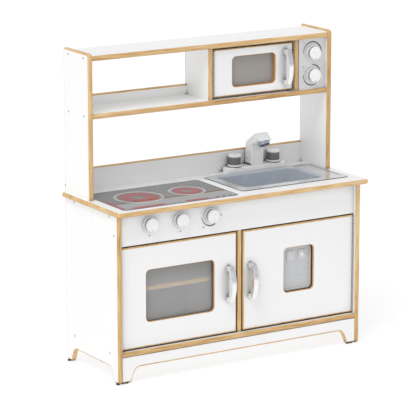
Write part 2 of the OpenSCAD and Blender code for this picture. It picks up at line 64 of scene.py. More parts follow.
def rgba(tone):
    return tone if isinstance(tone, bpy.types.NodeSocket) else (*tone, 1)


class Nodes:
    """Adds shader nodes to a tree. An input is a value or the socket that feeds it."""

    def __init__(self, tree):
        self.tree = tree

    def add(self, kind, ins=None, **props):
        n = self.tree.nodes.new("ShaderNode" + kind)
        for k, v in props.items():
            setattr(n, k, v)
        for k, v in (ins or {}).items():
            if isinstance(v, bpy.types.NodeSocket):
                self.tree.links.new(v, n.inputs[k])
            else:
                n.inputs[k].default_value = v
        return n

    def coords(self, stretch=(1, 1, 1), offset=(0, 0, 0)):
        return self.add("Mapping", {"Vector": self.add("TexCoord").outputs["Object"],
                                    "Scale": stretch, "Location": offset}).outputs[0]

    def part(self, vector, axis):
        return self.add("SeparateXYZ", {0: vector}).outputs[axis]

    def noise(self, scale, detail, rough, stretch=(1, 1, 1), distort=0.0, offset=(0, 0, 0)):
        return self.add("TexNoise", {"Vector": self.coords(stretch, offset), "Scale": scale, "Detail": detail,
                                     "Roughness": rough, "Distortion": distort}).outputs["Fac"]

    def math(self, op, a, b):
        return self.add("Math", {0: a, 1: b}, operation=op).outputs[0]

    def weigh(self, a, share_a, b, share_b):
        return self.math("ADD", self.math("MULTIPLY", a, share_a), self.math("MULTIPLY", b, share_b))

    def span(self, fac, lo, hi, to_lo, to_hi):
        return self.add("MapRange", {"Value": fac, "From Min": lo, "From Max": hi,
                                     "To Min": to_lo, "To Max": to_hi}).outputs[0]

    def mix(self, fac, a, b):
        return self.add("Mix", {0: fac, 6: rgba(a), 7: rgba(b)}, data_type="RGBA").outputs[2]

    def blend(self, fac, a, b, lo=0.3, hi=0.7):
        """From tone a to tone b while fac runs from lo to hi."""
        return self.mix(self.span(fac, lo, hi, 0.0, 1.0), a, b)

    def ramp(self, fac, stops):
        n = self.add("ValToRGB", {"Fac": fac})
        e = n.color_ramp.elements
        while len(e) < len(stops):
            e.new(0.5)
        for el, (place, tone) in zip(e, stops):
            el.position = place
            el.color = rgba(tone)
        return n.outputs["Color"]

    def painted_shade(self, color, reach, low, lo, hi):
        """The colour, darker where other surfaces close in on it: painted shade of narrow gaps, corners and recesses,
        from an ambient occlusion term.
        """
        ao = self.add("AmbientOcclusion", {"Distance": reach}, samples=8)
        k = self.span(ao.outputs["AO"], lo, hi, low, 1.0)
        return self.add("VectorMath", {0: color, "Scale": k}, operation="SCALE").outputs[0]


class Mat(Nodes):
    """A material around one Principled BSDF."""

    def __init__(self, name, tone, rough, **more):
        self.material = bpy.data.materials.new(name)
        self.material.use_nodes = True
        super().__init__(self.material.node_tree)
        self.bsdf = self.tree.nodes["Principled BSDF"]
        for k, v in {"Base Color": rgba(tone), "Roughness": rough, **more}.items():
            self.bsdf.inputs[k.replace("_", " ")].default_value = v

    def done(self, tone, rough=None, bump=None):
        """Wires tone, roughness and a bump given as (height, strength, distance)."""
        self.tree.links.new(tone, self.bsdf.inputs["Base Color"])
        if rough:
            self.tree.links.new(rough, self.bsdf.inputs["Roughness"])
        if bump:
            n = self.add("Bump", dict(zip(("Height", "Strength", "Distance"), bump)))
            self.tree.links.new(n.outputs[0], self.bsdf.inputs["Normal"])
        return self.material


# ---- materials

STRETCH = {"X": (0.05, 1, 1), "Y": (1, 0.05, 1), "Z": (1, 1, 0.05)}


def foil(name, tone, along="X", rough=0.42, front=0):
    """Matt white foil: a faint pressed wood grain along one axis, light clouding, uneven gloss, and painted shade in
    gaps and inner corners.
    front adds a wider, softer painted shade, round knobs and behind handles, and is how dark it gets."""
    m = Mat(name, tone, rough)
    fine = m.noise(900.0, 2.0, 0.6, STRETCH[along])
    both = m.weigh(m.noise(110.0, 4.0, 0.6, STRETCH[along]), 0.6, m.noise(7.0, 3.0, 0.5), 0.4)
    # painted shade: darker in narrow gaps and inner corners
    tint = m.painted_shade(m.blend(both, dim(tone, 0.975), tone, 0.36, 0.62), 0.02, 0.1, 0.12, 0.45)
    if front:
        # painted shade over a wider reach, round knobs and behind handles
        tint = m.painted_shade(tint, 0.045, front, 0.4, 0.88)
    return m.done(tint, m.span(both, 0.3, 0.7, rough - 0.06, rough + 0.08), (fine, 0.15, 0.00012))


def oak(name, along, reach=0.02):
    """Light oak edge with grain running along one axis: growth lines, pores and tone drift, with painted shade in
    gaps within reach.
    """
    m = Mat(name, srgb(214, 180, 130), 0.45)
    drift = m.noise(30.0, 4.0, 0.55, STRETCH[along], 0.5)
    lines = m.noise(300.0, 3.0, 0.6, STRETCH[along], 0.2)
    pores = m.noise(1300.0, 2.0, 0.5, STRETCH[along], offset=(3, 7, 1))
    tone = m.ramp(m.weigh(drift, 0.4, lines, 0.6), [
        (0.36, srgb(178, 134, 80)), (0.46, srgb(206, 166, 110)),
        (0.55, srgb(219, 184, 131)), (0.66, srgb(232, 205, 158))])
    tone = m.mix(m.span(pores, 0.62, 0.74, 0.0, 0.4), tone, srgb(150, 104, 58))
    # painted shade: the oak darkens in door gaps and narrow joints
    return m.done(m.painted_shade(tone, reach, 0.03, 0.2, 0.82), m.span(lines, 0.3, 0.7, 0.36, 0.56),
                  (lines, 0.3, 0.0002))


def plastic(name, tone, rough, grain=700.0, depth=0.0001, coat=0.0, low=0.35, **more):
    """Moulded plastic: fine texture, faint flow clouding and handling marks in the gloss, with painted shade in gaps
    down to low.
    """
    m = Mat(name, tone, rough, Coat_Weight=coat, Coat_Roughness=0.12, **more)
    cloud = m.noise(45.0, 3.0, 0.6)
    # painted shade: darker in gaps and corners, down to low
    tint = m.painted_shade(m.blend(cloud, dim(tone, 0.95), tone), 0.015, low, 0.2, 0.75)
    return m.done(tint, m.span(cloud, 0.3, 0.7, rough * 0.8, min(1, rough * 1.25)),
                  (m.noise(grain, 3.0, 0.6), 0.2, depth))


def brushed(name, tone, rough, metal=1.0, wear=0.12, scale=600.0, stretch=(1, 1, 1), reach=0.015):
    """Metal or metal-look surface with fine brushing and slightly dull patches; with a reach, painted shade in gaps.
    """
    m = Mat(name, tone, rough, Metallic=metal)
    brush = m.noise(scale, 3.0, 0.6, stretch)
    tint = m.blend(brush, dim(tone, 1 - wear), tone)
    # painted shade in gaps and corners within reach
    if reach:
        tint = m.painted_shade(tint, reach, 0.45, 0.2, 0.75)
    both = m.weigh(brush, 0.6, m.noise(60.0, 4.0, 0.6), 0.4)
    return m.done(tint, m.span(both, 0.35, 0.65, rough * 0.7, min(1, rough * 1.4)),
                  (brush, 0.15, 0.00008))


def hinge_material():
    """White-zinc piano hinge: fine brushing, and a dark band painted round the middle of each knuckle: painted shade
    standing in for the shaded gaps between knuckles.
    """
    m = Mat("hinge_zinc", srgb(238, 238, 237), 0.42, Metallic=0.25)
    brush = m.noise(500.0, 3.0, 0.6)
    # painted shade: a dark band repeating along Z, as of gaps between knuckles
    knuckle_gap_shade = m.span(m.math("PINGPONG", m.part(m.coords(), "Z"), 0.0027), 0.0013, 0.0017, 1.0, 0.0)
    tint = m.mix(knuckle_gap_shade, m.blend(brush, srgb(226, 226, 225), srgb(240, 240, 239)), srgb(96, 96, 96))
    return m.done(tint, m.span(brush, 0.35, 0.65, 0.32, 0.55), (brush, 0.15, 0.00006))


def chrome_material():
    """Satin chrome brushed along its length, with a painted reflection: bluish grey where it faces up, as of the sky
    above, and painted shade in gaps.
    """
    m = Mat("handle_chrome", srgb(240, 240, 242), 0.22, Metallic=0.75)
    brush = m.noise(500.0, 3.0, 0.6, (1, 1, 0.02))
    patch = m.noise(60.0, 4.0, 0.6)
    # painted reflection: up-facing surfaces turn bluish grey, the rest stays near white
    up = m.part(m.add("NewGeometry").outputs["Normal"], "Z")
    tone = m.blend(up, srgb(247, 247, 247), srgb(206, 207, 213), 0.02, 0.12)
    tint = m.mix(m.span(brush, 0.3, 0.7, 0.0, 0.08), tone, srgb(150, 151, 156))
    # painted shade where the handle closes in on the door
    return m.done(m.painted_shade(tint, 0.008, 0.45, 0.2, 0.7), m.span(patch, 0.35, 0.65, 0.16, 0.3),
                  (brush, 0.05, 0.000004))


def silver_foil():
    """Silver foil of the control plate, brushed from side to side."""
    m = Mat("silver_foil", srgb(222, 223, 223), 0.36, Metallic=0.25)
    fine = m.noise(900.0, 3.0, 0.6, (0.04, 1, 1))
    return m.done(m.blend(fine, srgb(204, 205, 206), srgb(219, 220, 220)),
                  m.span(m.noise(22.0, 3.0, 0.5), 0.3, 0.7, 0.3, 0.42), (fine, 0.1, 0.00006))


def smoked(name, tone, alpha, rough=0.08):
    """Smoked clear plastic sheet: grey film with a slow drift in its tone and faint haze."""
    m = Mat(name, tone, rough, Alpha=alpha, IOR=1.45)
    smear = m.noise(60.0, 4.0, 0.6, (1, 1, 0.2))
    return m.done(m.blend(m.noise(4.0, 2.0, 0.5), dim(tone, 0.94), tone),
                  m.span(smear, 0.3, 0.7, rough * 0.7, rough * 1.8))


GLOSS = {"Specular IOR Level": 0.0, "Coat Weight": 1.0, "Coat Roughness": 0.02, "Coat IOR": 1.5}


def hob_material():
    """Glossy grey plate: fine speckle in the print, smears in the gloss."""
    m = Mat("hob_grey", srgb(128, 128, 128), 0.4, **GLOSS)
    speck = m.noise(1500.0, 1.0, 0.5)
    return m.done(m.blend(speck, srgb(98, 98, 98), srgb(120, 120, 120), 0.35, 0.65),
                  m.span(m.noise(18.0, 4.0, 0.6), 0.3, 0.7, 0.34, 0.5), (speck, 0.02, 0.0001))


def zone_material():
    """Printed heating zone: red dots on a darker red ground."""
    m = Mat("zone_red", srgb(196, 70, 76), 0.4, **GLOSS)
    cells = m.add("TexVoronoi", {"Vector": m.coords((1, 1, 0)), "Scale": 420.0, "Randomness": 0.0})
    dots = m.span(cells.outputs["Distance"], 0.24, 0.36, 1.0, 0.0)
    return m.done(m.mix(dots, srgb(136, 42, 46), srgb(180, 6, 18)), m.span(dots, 0.0, 1.0, 0.45, 0.35))


def sink_material(name, tone, rough):
    """Steel-grey moulded plastic with a light gloss coat, slow clouding and painted shade in gaps."""
    m = Mat(name, tone, rough, Coat_Weight=0.5, Coat_Roughness=0.08)
    cloud = m.noise(16.0, 4.0, 0.6)
    # painted shade in gaps and corners
    tint = m.painted_shade(m.blend(cloud, dim(tone, 0.95), tone), 0.02, 0.4, 0.15, 0.6)
    return m.done(tint, m.span(cloud, 0.3, 0.7, rough * 0.7, rough * 1.5),
                  (m.noise(500.0, 2.0, 0.5), 0.06, 0.0001))


def reveal_material(name, front, deep):
    """Edge of a window: oak at the front, turning to the deep tone towards the back of the door: painted shade of the
    window's recess.
    """
    m = Mat(name, srgb(206, 166, 112), 0.5)
    lines = m.noise(300.0, 3.0, 0.6, (1, 0.3, 1))
    fresh = m.blend(lines, srgb(190, 138, 78), srgb(222, 182, 126))
    # painted shade: from 5.5 to 7.5 mm behind the door's front the oak turns to the deep tone
    tone = m.blend(m.part(m.coords(), "Y"), fresh, deep, (front + 5.5) * MM, (front + 7.5) * MM)
    return m.done(tone, m.span(lines, 0.3, 0.7, 0.42, 0.6), (lines, 0.3, 0.0002))


# boards, oak and hardboard
FOIL_TONE = srgb(242, 242, 241)
WHITE = {a: foil("white_foil_" + a.lower(), FOIL_TONE, a) for a in "XYZ"}
# fascia and doors: foil with a wider painted shade round the knobs and behind the handles
FASCIA_WHITE = foil("fascia_foil", FOIL_TONE, front=0.6)
DOOR_WHITE = foil("door_foil", FOIL_TONE, "Z", front=0.3)
HARDBOARD = foil("grey_hardboard", srgb(196, 196, 196), rough=0.6)
OAK = {a: oak("oak_edge_" + a.lower(), a) for a in "XYZ"}
# door edges: oak whose painted shade of the gaps reaches 7 mm, and 13 mm on the microwave door for a darker gap
DOOR_OAK = oak("door_oak", "Z", 0.007)
WIDE_SHADE_OAK = oak("oak_wide_painted_shade", "Z", 0.013)
BEECH = oak("beech_dowel", "Z")
BEECH_X = oak("beech_rail", "X")
SILVER = silver_foil()

# metal
SCREW = brushed("screw_head", srgb(168, 169, 171), 0.4, 0.3, 0.1, reach=0)
STEEL = brushed("zinc_steel", srgb(196, 198, 200), 0.34)
HINGE = hinge_material()
CHROME = chrome_material()
AERATOR = brushed("aerator_chrome", srgb(186, 192, 202), 0.22)
KNOB_SIDE = brushed("knob_silver", srgb(232, 233, 234), 0.3, 0.3, 0.08, 700.0, reach=0.006)
KNOB_BARREL = brushed("knob_barrel", srgb(170, 171, 174), 0.34, 0.5, 0.1, 700.0)
KNOB_CAP = brushed("knob_cap", srgb(244, 244, 244), 0.34, 0.1, 0.05, 500.0, (0.03, 1, 1))
# dark grey edges of the sink's rim: painted shade outlining the rim
RIM_EDGE_SHADE = brushed("sink_rim_edge_painted_shade", srgb(92, 94, 98), 0.4, 0.4, reach=0)

# plastic
TAP_WHITE = plastic("tap_white", srgb(246, 246, 244), 0.3, coat=0.25, low=0.9)
BARREL = plastic("tap_barrel_grey", srgb(138, 138, 136), 0.35, Metallic=0.35)
RING_DARK = plastic("dark_ring", srgb(72, 72, 72), 0.4)
GLIDE = plastic("glide_dark", srgb(66, 62, 58), 0.8, 300.0, 0.0003)
CATCH = plastic("catch_white", srgb(226, 226, 224), 0.4)
MAGNET = plastic("magnet_ferrite", srgb(58, 58, 60), 0.6)
# darker grey inside the screw sockets: painted shade of the recess
SOCKET_SHADE = plastic("socket_painted_shade", srgb(92, 93, 95), 0.5, Metallic=0.6)
# dark disc behind the aerator's mesh: painted shade of the bore
MOUTH_SHADE = plastic("aerator_mouth_painted_shade", srgb(64, 68, 76), 0.5)
# a dark sheet under the sink's rim: painted shadow of the gap under it
RIM_SHADOW_SHEET = plastic("sink_rim_painted_shadow", srgb(44, 44, 46), 0.7)
TRAY = plastic("dispenser_grey", srgb(196, 198, 199), 0.3)
TRAY_EDGE = plastic("dispenser_border", srgb(216, 217, 218), 0.28)
TILE = plastic("tile_grey", srgb(204, 205, 206), 0.3)
ICON_LIGHT = plastic("icon_light", srgb(236, 237, 238), 0.35)
SINK_RIM = sink_material("sink_rim", srgb(186, 188, 189), 0.14)
SINK_BOWL = sink_material("sink_bowl", srgb(182, 189, 197), 0.22)

# panes, hob and prints
PANE = smoked("smoked_pane", srgb(188, 188, 187), 0.36)
PANE_MICRO = smoked("smoked_pane_micro", srgb(160, 157, 151), 0.8, 0.16)
HOB = hob_material()
ZONE = zone_material()
PRINT_DARK = plastic("print_dark", srgb(58, 58, 60), 0.45, low=1.0)
PRINT_RED = plastic("print_red", srgb(176, 26, 40), 0.4, low=1.0)
PRINT_WHITE = plastic("print_white", srgb(226, 226, 226), 0.4, low=1.0)
PRINT_GREY = plastic("print_grey", srgb(176, 177, 179), 0.45, low=1.0)


# ---- outlines, in mm

def fillet(a, b, c, r, n, share=None):
    """Arc of radius r in corner b of the line a, b, c, as rows of (x, y, outward normal). It is empty
    where the line runs straight. share keeps the arc within that part of the shorter side."""
    b = Vector(b)
    d1, d2 = Vector(a) - b, Vector(c) - b
    short = min(d1.length, d2.length)
    if short < 1e-6:
        return []
    d1.normalize(), d2.normalize()
    half = acos(max(-1, min(1, d1.dot(d2)))) / 2
    if half > radians(89):
        return []
    if share:
        r = min(r, share * short * tan(half))
    gap = r / tan(half)
    centre = b + (d1 + d2).normalized() * (r / sin(half))
    s, e = b + d1 * gap - centre, b + d2 * gap - centre
    a0 = atan2(s.y, s.x)
    da = (atan2(e.y, e.x) - a0 + pi) % (2 * pi) - pi
    side = 1 if da > 0 else -1
    turn = [(cos(a0 + da * k / n), sin(a0 + da * k / n)) for k in range(n + 1)]
    return [(centre.x + r * x, centre.y + r * y, (side * x, side * y)) for x, y in turn]


def rounded(points, n=6):
    """Outline from (x, y, radius[, open]) corners, counter-clockwise, with each corner rounded.
    open says whether the edge that starts there is rounded and oak-faced (1) or butted (0)."""
    out = []
    for i, (x, y, r, *given) in enumerate(points):
        kind = given[0] if given else 1
        arc = fillet(points[i - 1][:2], (x, y), points[(i + 1) % len(points)][:2], r, n) if r > 0 else []
        out += [(px, py, kind) for px, py, _ in arc] or [(x, y, kind)]
    return out


def rect(x0, x1, y0, y1, r=1.0, n=5, open=(1, 1, 1, 1)):
    """Rectangle whose edges are bottom, right, top, left; a corner is rounded between open edges."""
    c = [(x0, y0), (x1, y0), (x1, y1), (x0, y1)]
    return rounded([(*q, r if open[i] and open[i - 1] else 0, open[i]) for i, q in enumerate(c)], n)


def around(x, y, half_x, half_y, r, n=5):
    return rect(x - half_x, x + half_x, y - half_y, y + half_y, r, n)


def disc(x, y, r, n=32):
    return [(x + r * cos(2 * pi * i / n), y + r * sin(2 * pi * i / n), 1) for i in range(n)]


def hole(loop, kind=1):
    """A loop turned clockwise. kind is 1 (edge material), 0 (face material, sharp) or a material."""
    return [(*q[:2], kind) for q in loop[::-1]]


def arc_band(x, y, r, stops, n=28):
    """Outline of an arc with a varying width, from (angle in degrees, width) stops in rising order."""
    outer, inner = [], []
    a0, a1 = stops[0][0], stops[-1][0]
    for i in range(n + 1):
        a = a0 + (a1 - a0) * i / n
        k = next(j for j in range(1, len(stops)) if a <= stops[j][0] + 1e-6)
        (b0, w0), (b1, w1) = stops[k - 1], stops[k]
        w = w0 + (w1 - w0) * (a - b0) / (b1 - b0)
        c, s = cos(radians(a)), sin(radians(a))
        outer.append((x + (r + w / 2) * c, y + (r + w / 2) * s, 1))
        inner.append((x + (r - w / 2) * c, y + (r - w / 2) * s, 1))
    return outer + inner[::-1]


def outline_normals(loop):
    """Per point of a loop: the move that insets it by one, and its outward normal. Butted edges,
    of kind 0, aren't inset."""
    n = len(loop)
    out = []
    for i in range(n):
        a, b, c = Vector(loop[i - 1][:2]), Vector(loop[i][:2]), Vector(loop[(i + 1) % n][:2])
        f1, f2 = bool(loop[i - 1][2]), bool(loop[i][2])
        e1, e2 = (b - a).normalized(), (c - b).normalized()
        n1, n2 = Vector((e1.y, -e1.x)), Vector((e2.y, -e2.x))
        s = n1 + n2
        s = s.normalized() if s.length > 1e-6 else n1
        cross = n1.x * n2.y - n1.y * n2.x
        if f1 and f2:
            out.append((s * (1 / max(0.35, s.dot(n1))), s))
        elif not f1 and not f2:
            out.append((Vector((0, 0)), s))
        elif abs(cross) < 0.05:
            out.append(((n1 + n2) * 0.25, s))
        else:
            out.append((Vector(((f1 * n2.y - f2 * n1.y) / cross, (n1.x * f2 - n2.x * f1) / cross)),
                        n1 if f1 else n2))
    return out


def edge_steps(r0, r1, t, seg):
    """Rounded edge of a plate: rows of (inset, height, share of side normal, share of face normal)."""
    turn = [pi / 2 * i / seg for i in range(seg + 1)]
    low = [(r0 * (1 - sin(a)), r0 * (1 - cos(a)), sin(a), -cos(a)) for a in turn]
    high = [(r1 * (1 - sin(a)), t - r1 * (1 - cos(a)), sin(a), cos(a)) for a in turn]
    return low + high[::-1]


# ---- pieces

X, Y, Z = Vector((1, 0, 0)), Vector((0, 1, 0)), Vector((0, 0, 1))
# plate axes: in-plane u, v and thickness w
AXES = {"X": (Y, Z, X), "Y": (X, Z, Y), "Z": (X, Y, Z)}
# lathe bases: x, y and the axis
FRONT, BACKWARD, UP, RIGHT, LEFT = (X, Z, -Y), (-X, Z, Y), (X, Y, Z), (Y, Z, X), (-Y, Z, -X)


def add_object(name, data):
    o = bpy.data.objects.new(name, data)
    bpy.context.scene.collection.objects.link(o)
    return o


class Piece:
    """Collects vertices with exact normals, and faces with materials."""

    def __init__(self):
        self.v, self.n, self.f, self.fm, self.mats = [], [], [], [], []

    def vert(self, p, n):
        self.v.append(tuple(p))
        self.n.append(tuple(n))
        return len(self.v) - 1

    def face(self, ids, mat):
        if mat not in self.mats:
            self.mats.append(mat)
        self.f.append(tuple(ids))
        self.fm.append(self.mats.index(mat))

    def skin(self, rings, mat, flip=False):
        """Quads between closed rings of vertices. mat is a material, or a list with one per quad."""
        n = len(rings[0])
        for a, b in zip(rings, rings[1:]):
            for i in range(n):
                j = (i + 1) % n
                quad = (a[i], a[j], b[j], b[i])
                self.face(quad[::-1] if flip else quad, mat[i] if isinstance(mat, list) else mat)

    def fill(self, ids, loops, normal, mat):
        """Triangles over a flat outline with holes, turned to face along normal."""
        for tri in tessellate_polygon([[Vector((x, y, 0)) for x, y in l] for l in loops]):
            t = [ids[i] for i in tri]
            a, b, c = (Vector(self.v[i]) for i in t)
            cross = (b - a).cross(c - a)
            if cross.length > 1e-15:
                self.face(t if cross.dot(normal) > 0 else t[::-1], mat)

    def build(self, name, node):
        """Makes the mesh object that replaces a CAD node."""
        me = bpy.data.meshes.new(name)
        me.from_pydata(self.v, [], self.f)
        for m in self.mats:
            me.materials.append(m)
        me.polygons.foreach_set("material_index", self.fm)
        me.polygons.foreach_set("use_smooth", [True] * len(self.f))
        me.update()
        me.normals_split_custom_set([self.n[v] for f in self.f for v in f])
        o = add_object(name, me)
        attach(o, BODY[node])
        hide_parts(node)
        return o


def mbox(node):
    """Low and high corner of a node's box, in mm."""
    lo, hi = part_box(node)
    return lo / MM, hi / MM


def centre(node):
    lo, hi = mbox(node)
    return [(a + b) / 2 for a, b in zip(lo, hi)]


def add_plate(p, outer, holes, t, axis, at, mats, r=(2.0, 2.0), seg=3, hole_r=None):
    """A plate with rounded edges. outer is counter-clockwise and holes are clockwise.
    axis is the thickness direction and at is the low face's place along it.
    mats is one material, (face, edge) or (low face, high face, edge); r are the edge radii at both
    faces."""
    u, v, w = AXES[axis]
    mats = mats if isinstance(mats, tuple) else (mats, mats)
    low, high, edge = mats if len(mats) == 3 else (mats[0], *mats)
    caps = [[], []]
    for loop in [outer, *holes]:
        steps = edge_steps(*(r if loop is outer or not hole_r else hole_r), t, seg)
        ns = outline_normals(loop)
        flats = [[(q[0] - off.x * inset, q[1] - off.y * inset) for q, (off, _) in zip(loop, ns)]
                 for inset, *_ in steps]
        rings = [[p.vert((u * a + v * b + w * (at + c)) * MM, u * (n.x * side) + v * (n.y * side) + w * face)
                  for (a, b), (_, n) in zip(flat, ns)] for flat, (_, c, side, face) in zip(flats, steps)]
        p.skin(rings, [q[2] if isinstance(q[2], bpy.types.Material) else edge if q[2] else low for q in loop],
               flip=axis == "Y")
        for cap, k in zip(caps, (0, -1)):
            cap.append((rings[k], flats[k]))
    for cap, out, mat in zip(caps, (-1, 1), (low, high)):
        p.fill([i for ring, _ in cap for i in ring], [flat for _, flat in cap], w * out, mat)


def add_slab(p, box, axis, corner, mats, r, seg=3, holes=(), n=5, open=(1, 1, 1, 1), hole_r=None):
    """A plate that fills a box given as its low and high corner."""
    lo, hi = box
    k = "XYZ".index(axis)
    u, v = (i for i in range(3) if i != k)
    add_plate(p, rect(lo[u], hi[u], lo[v], hi[v], corner, n, open), holes, hi[k] - lo[k], axis, lo[k],
              mats, r, seg, hole_r)


def add_lathe(p, points, mat, origin, basis, n=64, seg=3, flute=None):
    """Turned shape. points are (radius, height[, rounding[, material]]) corners from the axis start;
    a material holds from its corner on. flute is (from height, to height, count, depth)."""
    bx, by, bz = basis
    profile = []
    for i, (x, y, *more) in enumerate(points):
        mat = more[1] if len(more) > 1 else mat
        arc = []
        if more and more[0] > 0 and 0 < i < len(points) - 1:
            arc = fillet(points[i - 1][:2], (x, y), points[i + 1][:2], more[0], seg, 0.45)
        profile += [(px, py, mat, normal) for px, py, normal in arc] or [(x, y, mat, None)]
    for a, b in zip(profile, profile[1:]):
        dr, dz = b[0] - a[0], b[1] - a[1]
        length = hypot(dr, dz)
        if length < 1e-9:
            continue
        rows = []
        for rad, height, _, normal in (a, b):
            nr, nz = normal or (dz / length, -dr / length)
            row = []
            for i in range(n):
                t = 2 * pi * i / n
                d = bx * cos(t) + by * sin(t)
                deep = 0
                if flute and flute[0] <= height <= flute[1]:
                    deep = flute[3] * (0.5 - 0.5 * cos(flute[2] * t)) ** 1.5
                row.append(p.vert((origin + d * (rad - deep) + bz * height) * MM, d * nr + bz * nz))
            rows.append(row)
        low, high = rows
        for i in range(n):
            j = (i + 1) % n
            if a[0] < 1e-6:
                p.face((low[i], high[j], high[i]), b[2])
            elif b[0] < 1e-6:
                p.face((low[i], low[j], high[i]), b[2])
            else:
                p.face((low[i], low[j], high[j], high[i]), b[2])


PRINT_T = 0.22      # thickness of a printed film


class Print:
    """Printed films on one plane of a piece: very thin plates with crisp edges."""

    def __init__(self, p, axis, at):
        self.p, self.axis, self.at = p, axis, at

    def film(self, loop, mat, *holes):
        add_plate(self.p, loop, holes, PRINT_T, self.axis, self.at, mat, (0.02, 0.06), 1)

    def ring(self, x, y, r, w, mat, n=32):
        self.film(disc(x, y, r, n), mat, hole(disc(x, y, r - w, n)))


# ---- carcass

EDGE = 5.0                          # radius of the oak edges
CORNER = EDGE + 0.2                 # radius in outline where two oak edges meet
LEAN = tan(radians(24))   # slant of the arches' ends
ARCH_H, ARCH_R = 44.5, 20           # height of the arches, radius of their upper corners
F = mbox("base_side_left")[0].y     # Y of the front edges of the lower side panels
FRONT_ONLY, FRONT_BACK, TOP_ONLY, LEFT_ONLY = (1, 0, 0, 0), (1, 0, 1, 0), (0, 0, 1, 0), (0, 0, 0, 1)


def at(depth):
    return F + depth


def board_piece(node, axis, grain, r=EDGE, mats=None, corner=1.2, open=(1, 1, 1, 1)):
    """A plain board from a node's box, with rounded oak edges where it isn't butted."""
    p = Piece()
    add_slab(p, mbox(node), axis, corner, mats or (WHITE[grain], OAK[grain]), (r, r), open=open)
    return p.build("v_" + node, node)


def shaped_board(name, node, axis, grain, points, n=8):
    """A board with an outline of its own."""
    lo, hi = mbox(node)
    k = "XYZ".index(axis)
    p = Piece()
    add_plate(p, rounded(points, n), [], hi[k] - lo[k], axis, lo[k], (WHITE[grain], OAK[grain]), (EDGE, EDGE), 4)
    p.build(name, node)


def arch(lo, start, end):
    """Corners of an arch with slanting ends, from start to end at the height of the floor."""
    return [(start + lo.z * LEAN, lo.z, CORNER), (start + ARCH_H * LEAN, ARCH_H, ARCH_R),
            (end - ARCH_H * LEAN, ARCH_H, ARCH_R), (end - lo.z * LEAN, lo.z, CORNER)]


SIDE_ARCH = (at(152 - 128), at(152 + 128))
KICK_ARCH = (-378, 378)

for side in ("left", "right"):
    node = "base_side_" + side
    lo, hi = mbox(node)
    shaped_board("lower_side_" + side, node, "X", "Z", [
        (lo.y, lo.z, CORNER), *arch(lo, *SIDE_ARCH), (hi.y, lo.z, CORNER), (hi.y, hi.z, 0, 0), (lo.y, hi.z, 0)])
    node = "upper_side_" + side
    lo, hi = mbox(node)
    shaped_board("upper_side_panel_" + side, node, "X", "Z", [
        (lo.y, lo.z, 0, 0), (hi.y, lo.z, 0), (hi.y, hi.z, CORNER), (lo.y, hi.z, 12)])

lo, hi = mbox("kick_plate")
shaped_board("kick_plate_board", "kick_plate", "Y", "X", [
    (lo.x, lo.z, 0), *arch(lo, *KICK_ARCH), (hi.x, lo.z, 0, 0), (hi.x, hi.z, 0, 0), (lo.x, hi.z, 0, 0)])

board_piece("base_panel", "Z", "X", open=FRONT_ONLY)
for node in ("oven_shelf", "top_panel", "middle_shelf"):
    board_piece(node, "Z", "X", open=FRONT_BACK)
for node in ("cubby_divider", "control_divider"):
    board_piece(node, "X", "Z", open=LEFT_ONLY)
for node in ("cubby_rail", "backsplash"):
    board_piece(node, "Y", "X", 4.9, open=TOP_ONLY)
for node in ("lower_back_panel", "microwave_back"):
    board_piece(node, "Y", "X", 0.4, HARDBOARD)

# centre divider, notched under the fascia
lo, hi = mbox("centre_divider")
notch_z, notch_y = mbox("fascia")[0].z, lo.y + 15
shaped_board("centre_divider_board", "centre_divider", "X", "Z", [
    (lo.y, lo.z, 0, 0), (hi.y, lo.z, 0, 0), (hi.y, hi.z, 0, 0), (notch_y, hi.z, 0, 0), (notch_y, notch_z, 0, 0),
    (lo.y, notch_z, 0, 1)], 5)

# fascia and control plate with their shaft holes
KNOBS = ["hob_knob_left", "hob_knob_middle", "hob_knob_right"]
CONTROLS = ["control_knob_upper", "control_knob_lower"]
SHAFT_HOLE_R = 5.2


def shaft_holes(knobs):
    return [hole(disc(x, z, SHAFT_HOLE_R, 24)) for x, _, z in map(centre, knobs)]


p = Piece()
add_slab(p, mbox("fascia"), "Y", 0, FASCIA_WHITE, (3, 3), holes=shaft_holes(KNOBS), open=FRONT_ONLY)
p.build("fascia_board", "fascia")
p = Piece()
add_slab(p, mbox("control_plate"), "Y", 0.6, (SILVER, WHITE["Z"], WHITE["Z"]), (0.5, 0.5), 2, shaft_holes(CONTROLS))
p.build("control_plate_panel", "control_plate")

# worktop with the sink's cut-out and a full round edge
BOWL = (193.5, at(154))     # centre of the sink's bowl
p = Piece()
add_slab(p, mbox("worktop"), "Z", 10, (WHITE["X"], OAK["X"]), (EDGE, EDGE), 5,
         [hole(around(*BOWL, 142.5, 87, 22, 8), 0)], 8, hole_r=(1, 1))
p.build("worktop_board", "worktop")


# ---- doors

def door_piece(door, pane, inset, deep, open, edge=DOOR_OAK):
    """Door board. The pane reaches behind the window's edge by inset; deep is the tone of the painted
    shade on that edge towards the back."""
    node = door + "_door"
    lo, hi = mbox(node)
    pl, ph = mbox(pane)
    window = rect(pl.x + inset, ph.x - inset, pl.z + inset, ph.z - inset, 13, 8)
    reveal = reveal_material(node + "_board_reveal", lo.y, deep)
    p = Piece()
    add_slab(p, (lo, hi), "Y", CORNER, (DOOR_WHITE, edge), (EDGE, 2.4), 5, [hole(window, reveal)], open=open,
             hole_r=(1.4, 1.4))
    p.build(node + "_board", node)


# deep tones: painted shade in each window's recess
door_piece("oven", "oven_window", 10, srgb(84, 82, 80), (1, 1, 1, 0))
door_piece("cupboard", "dispenser_panel", 8, srgb(62, 42, 24), (1, 0, 1, 1))
door_piece("microwave", "microwave_window", 10, srgb(190, 138, 82), (1, 1, 1, 0), WIDE_SHADE_OAK)

for node, mat in (("oven_window", PANE), ("microwave_window", PANE_MICRO)):
    pane = board_piece(node, "Y", "X", 0.4, mat, 13)
    pane.visible_shadow = pane.visible_diffuse = False


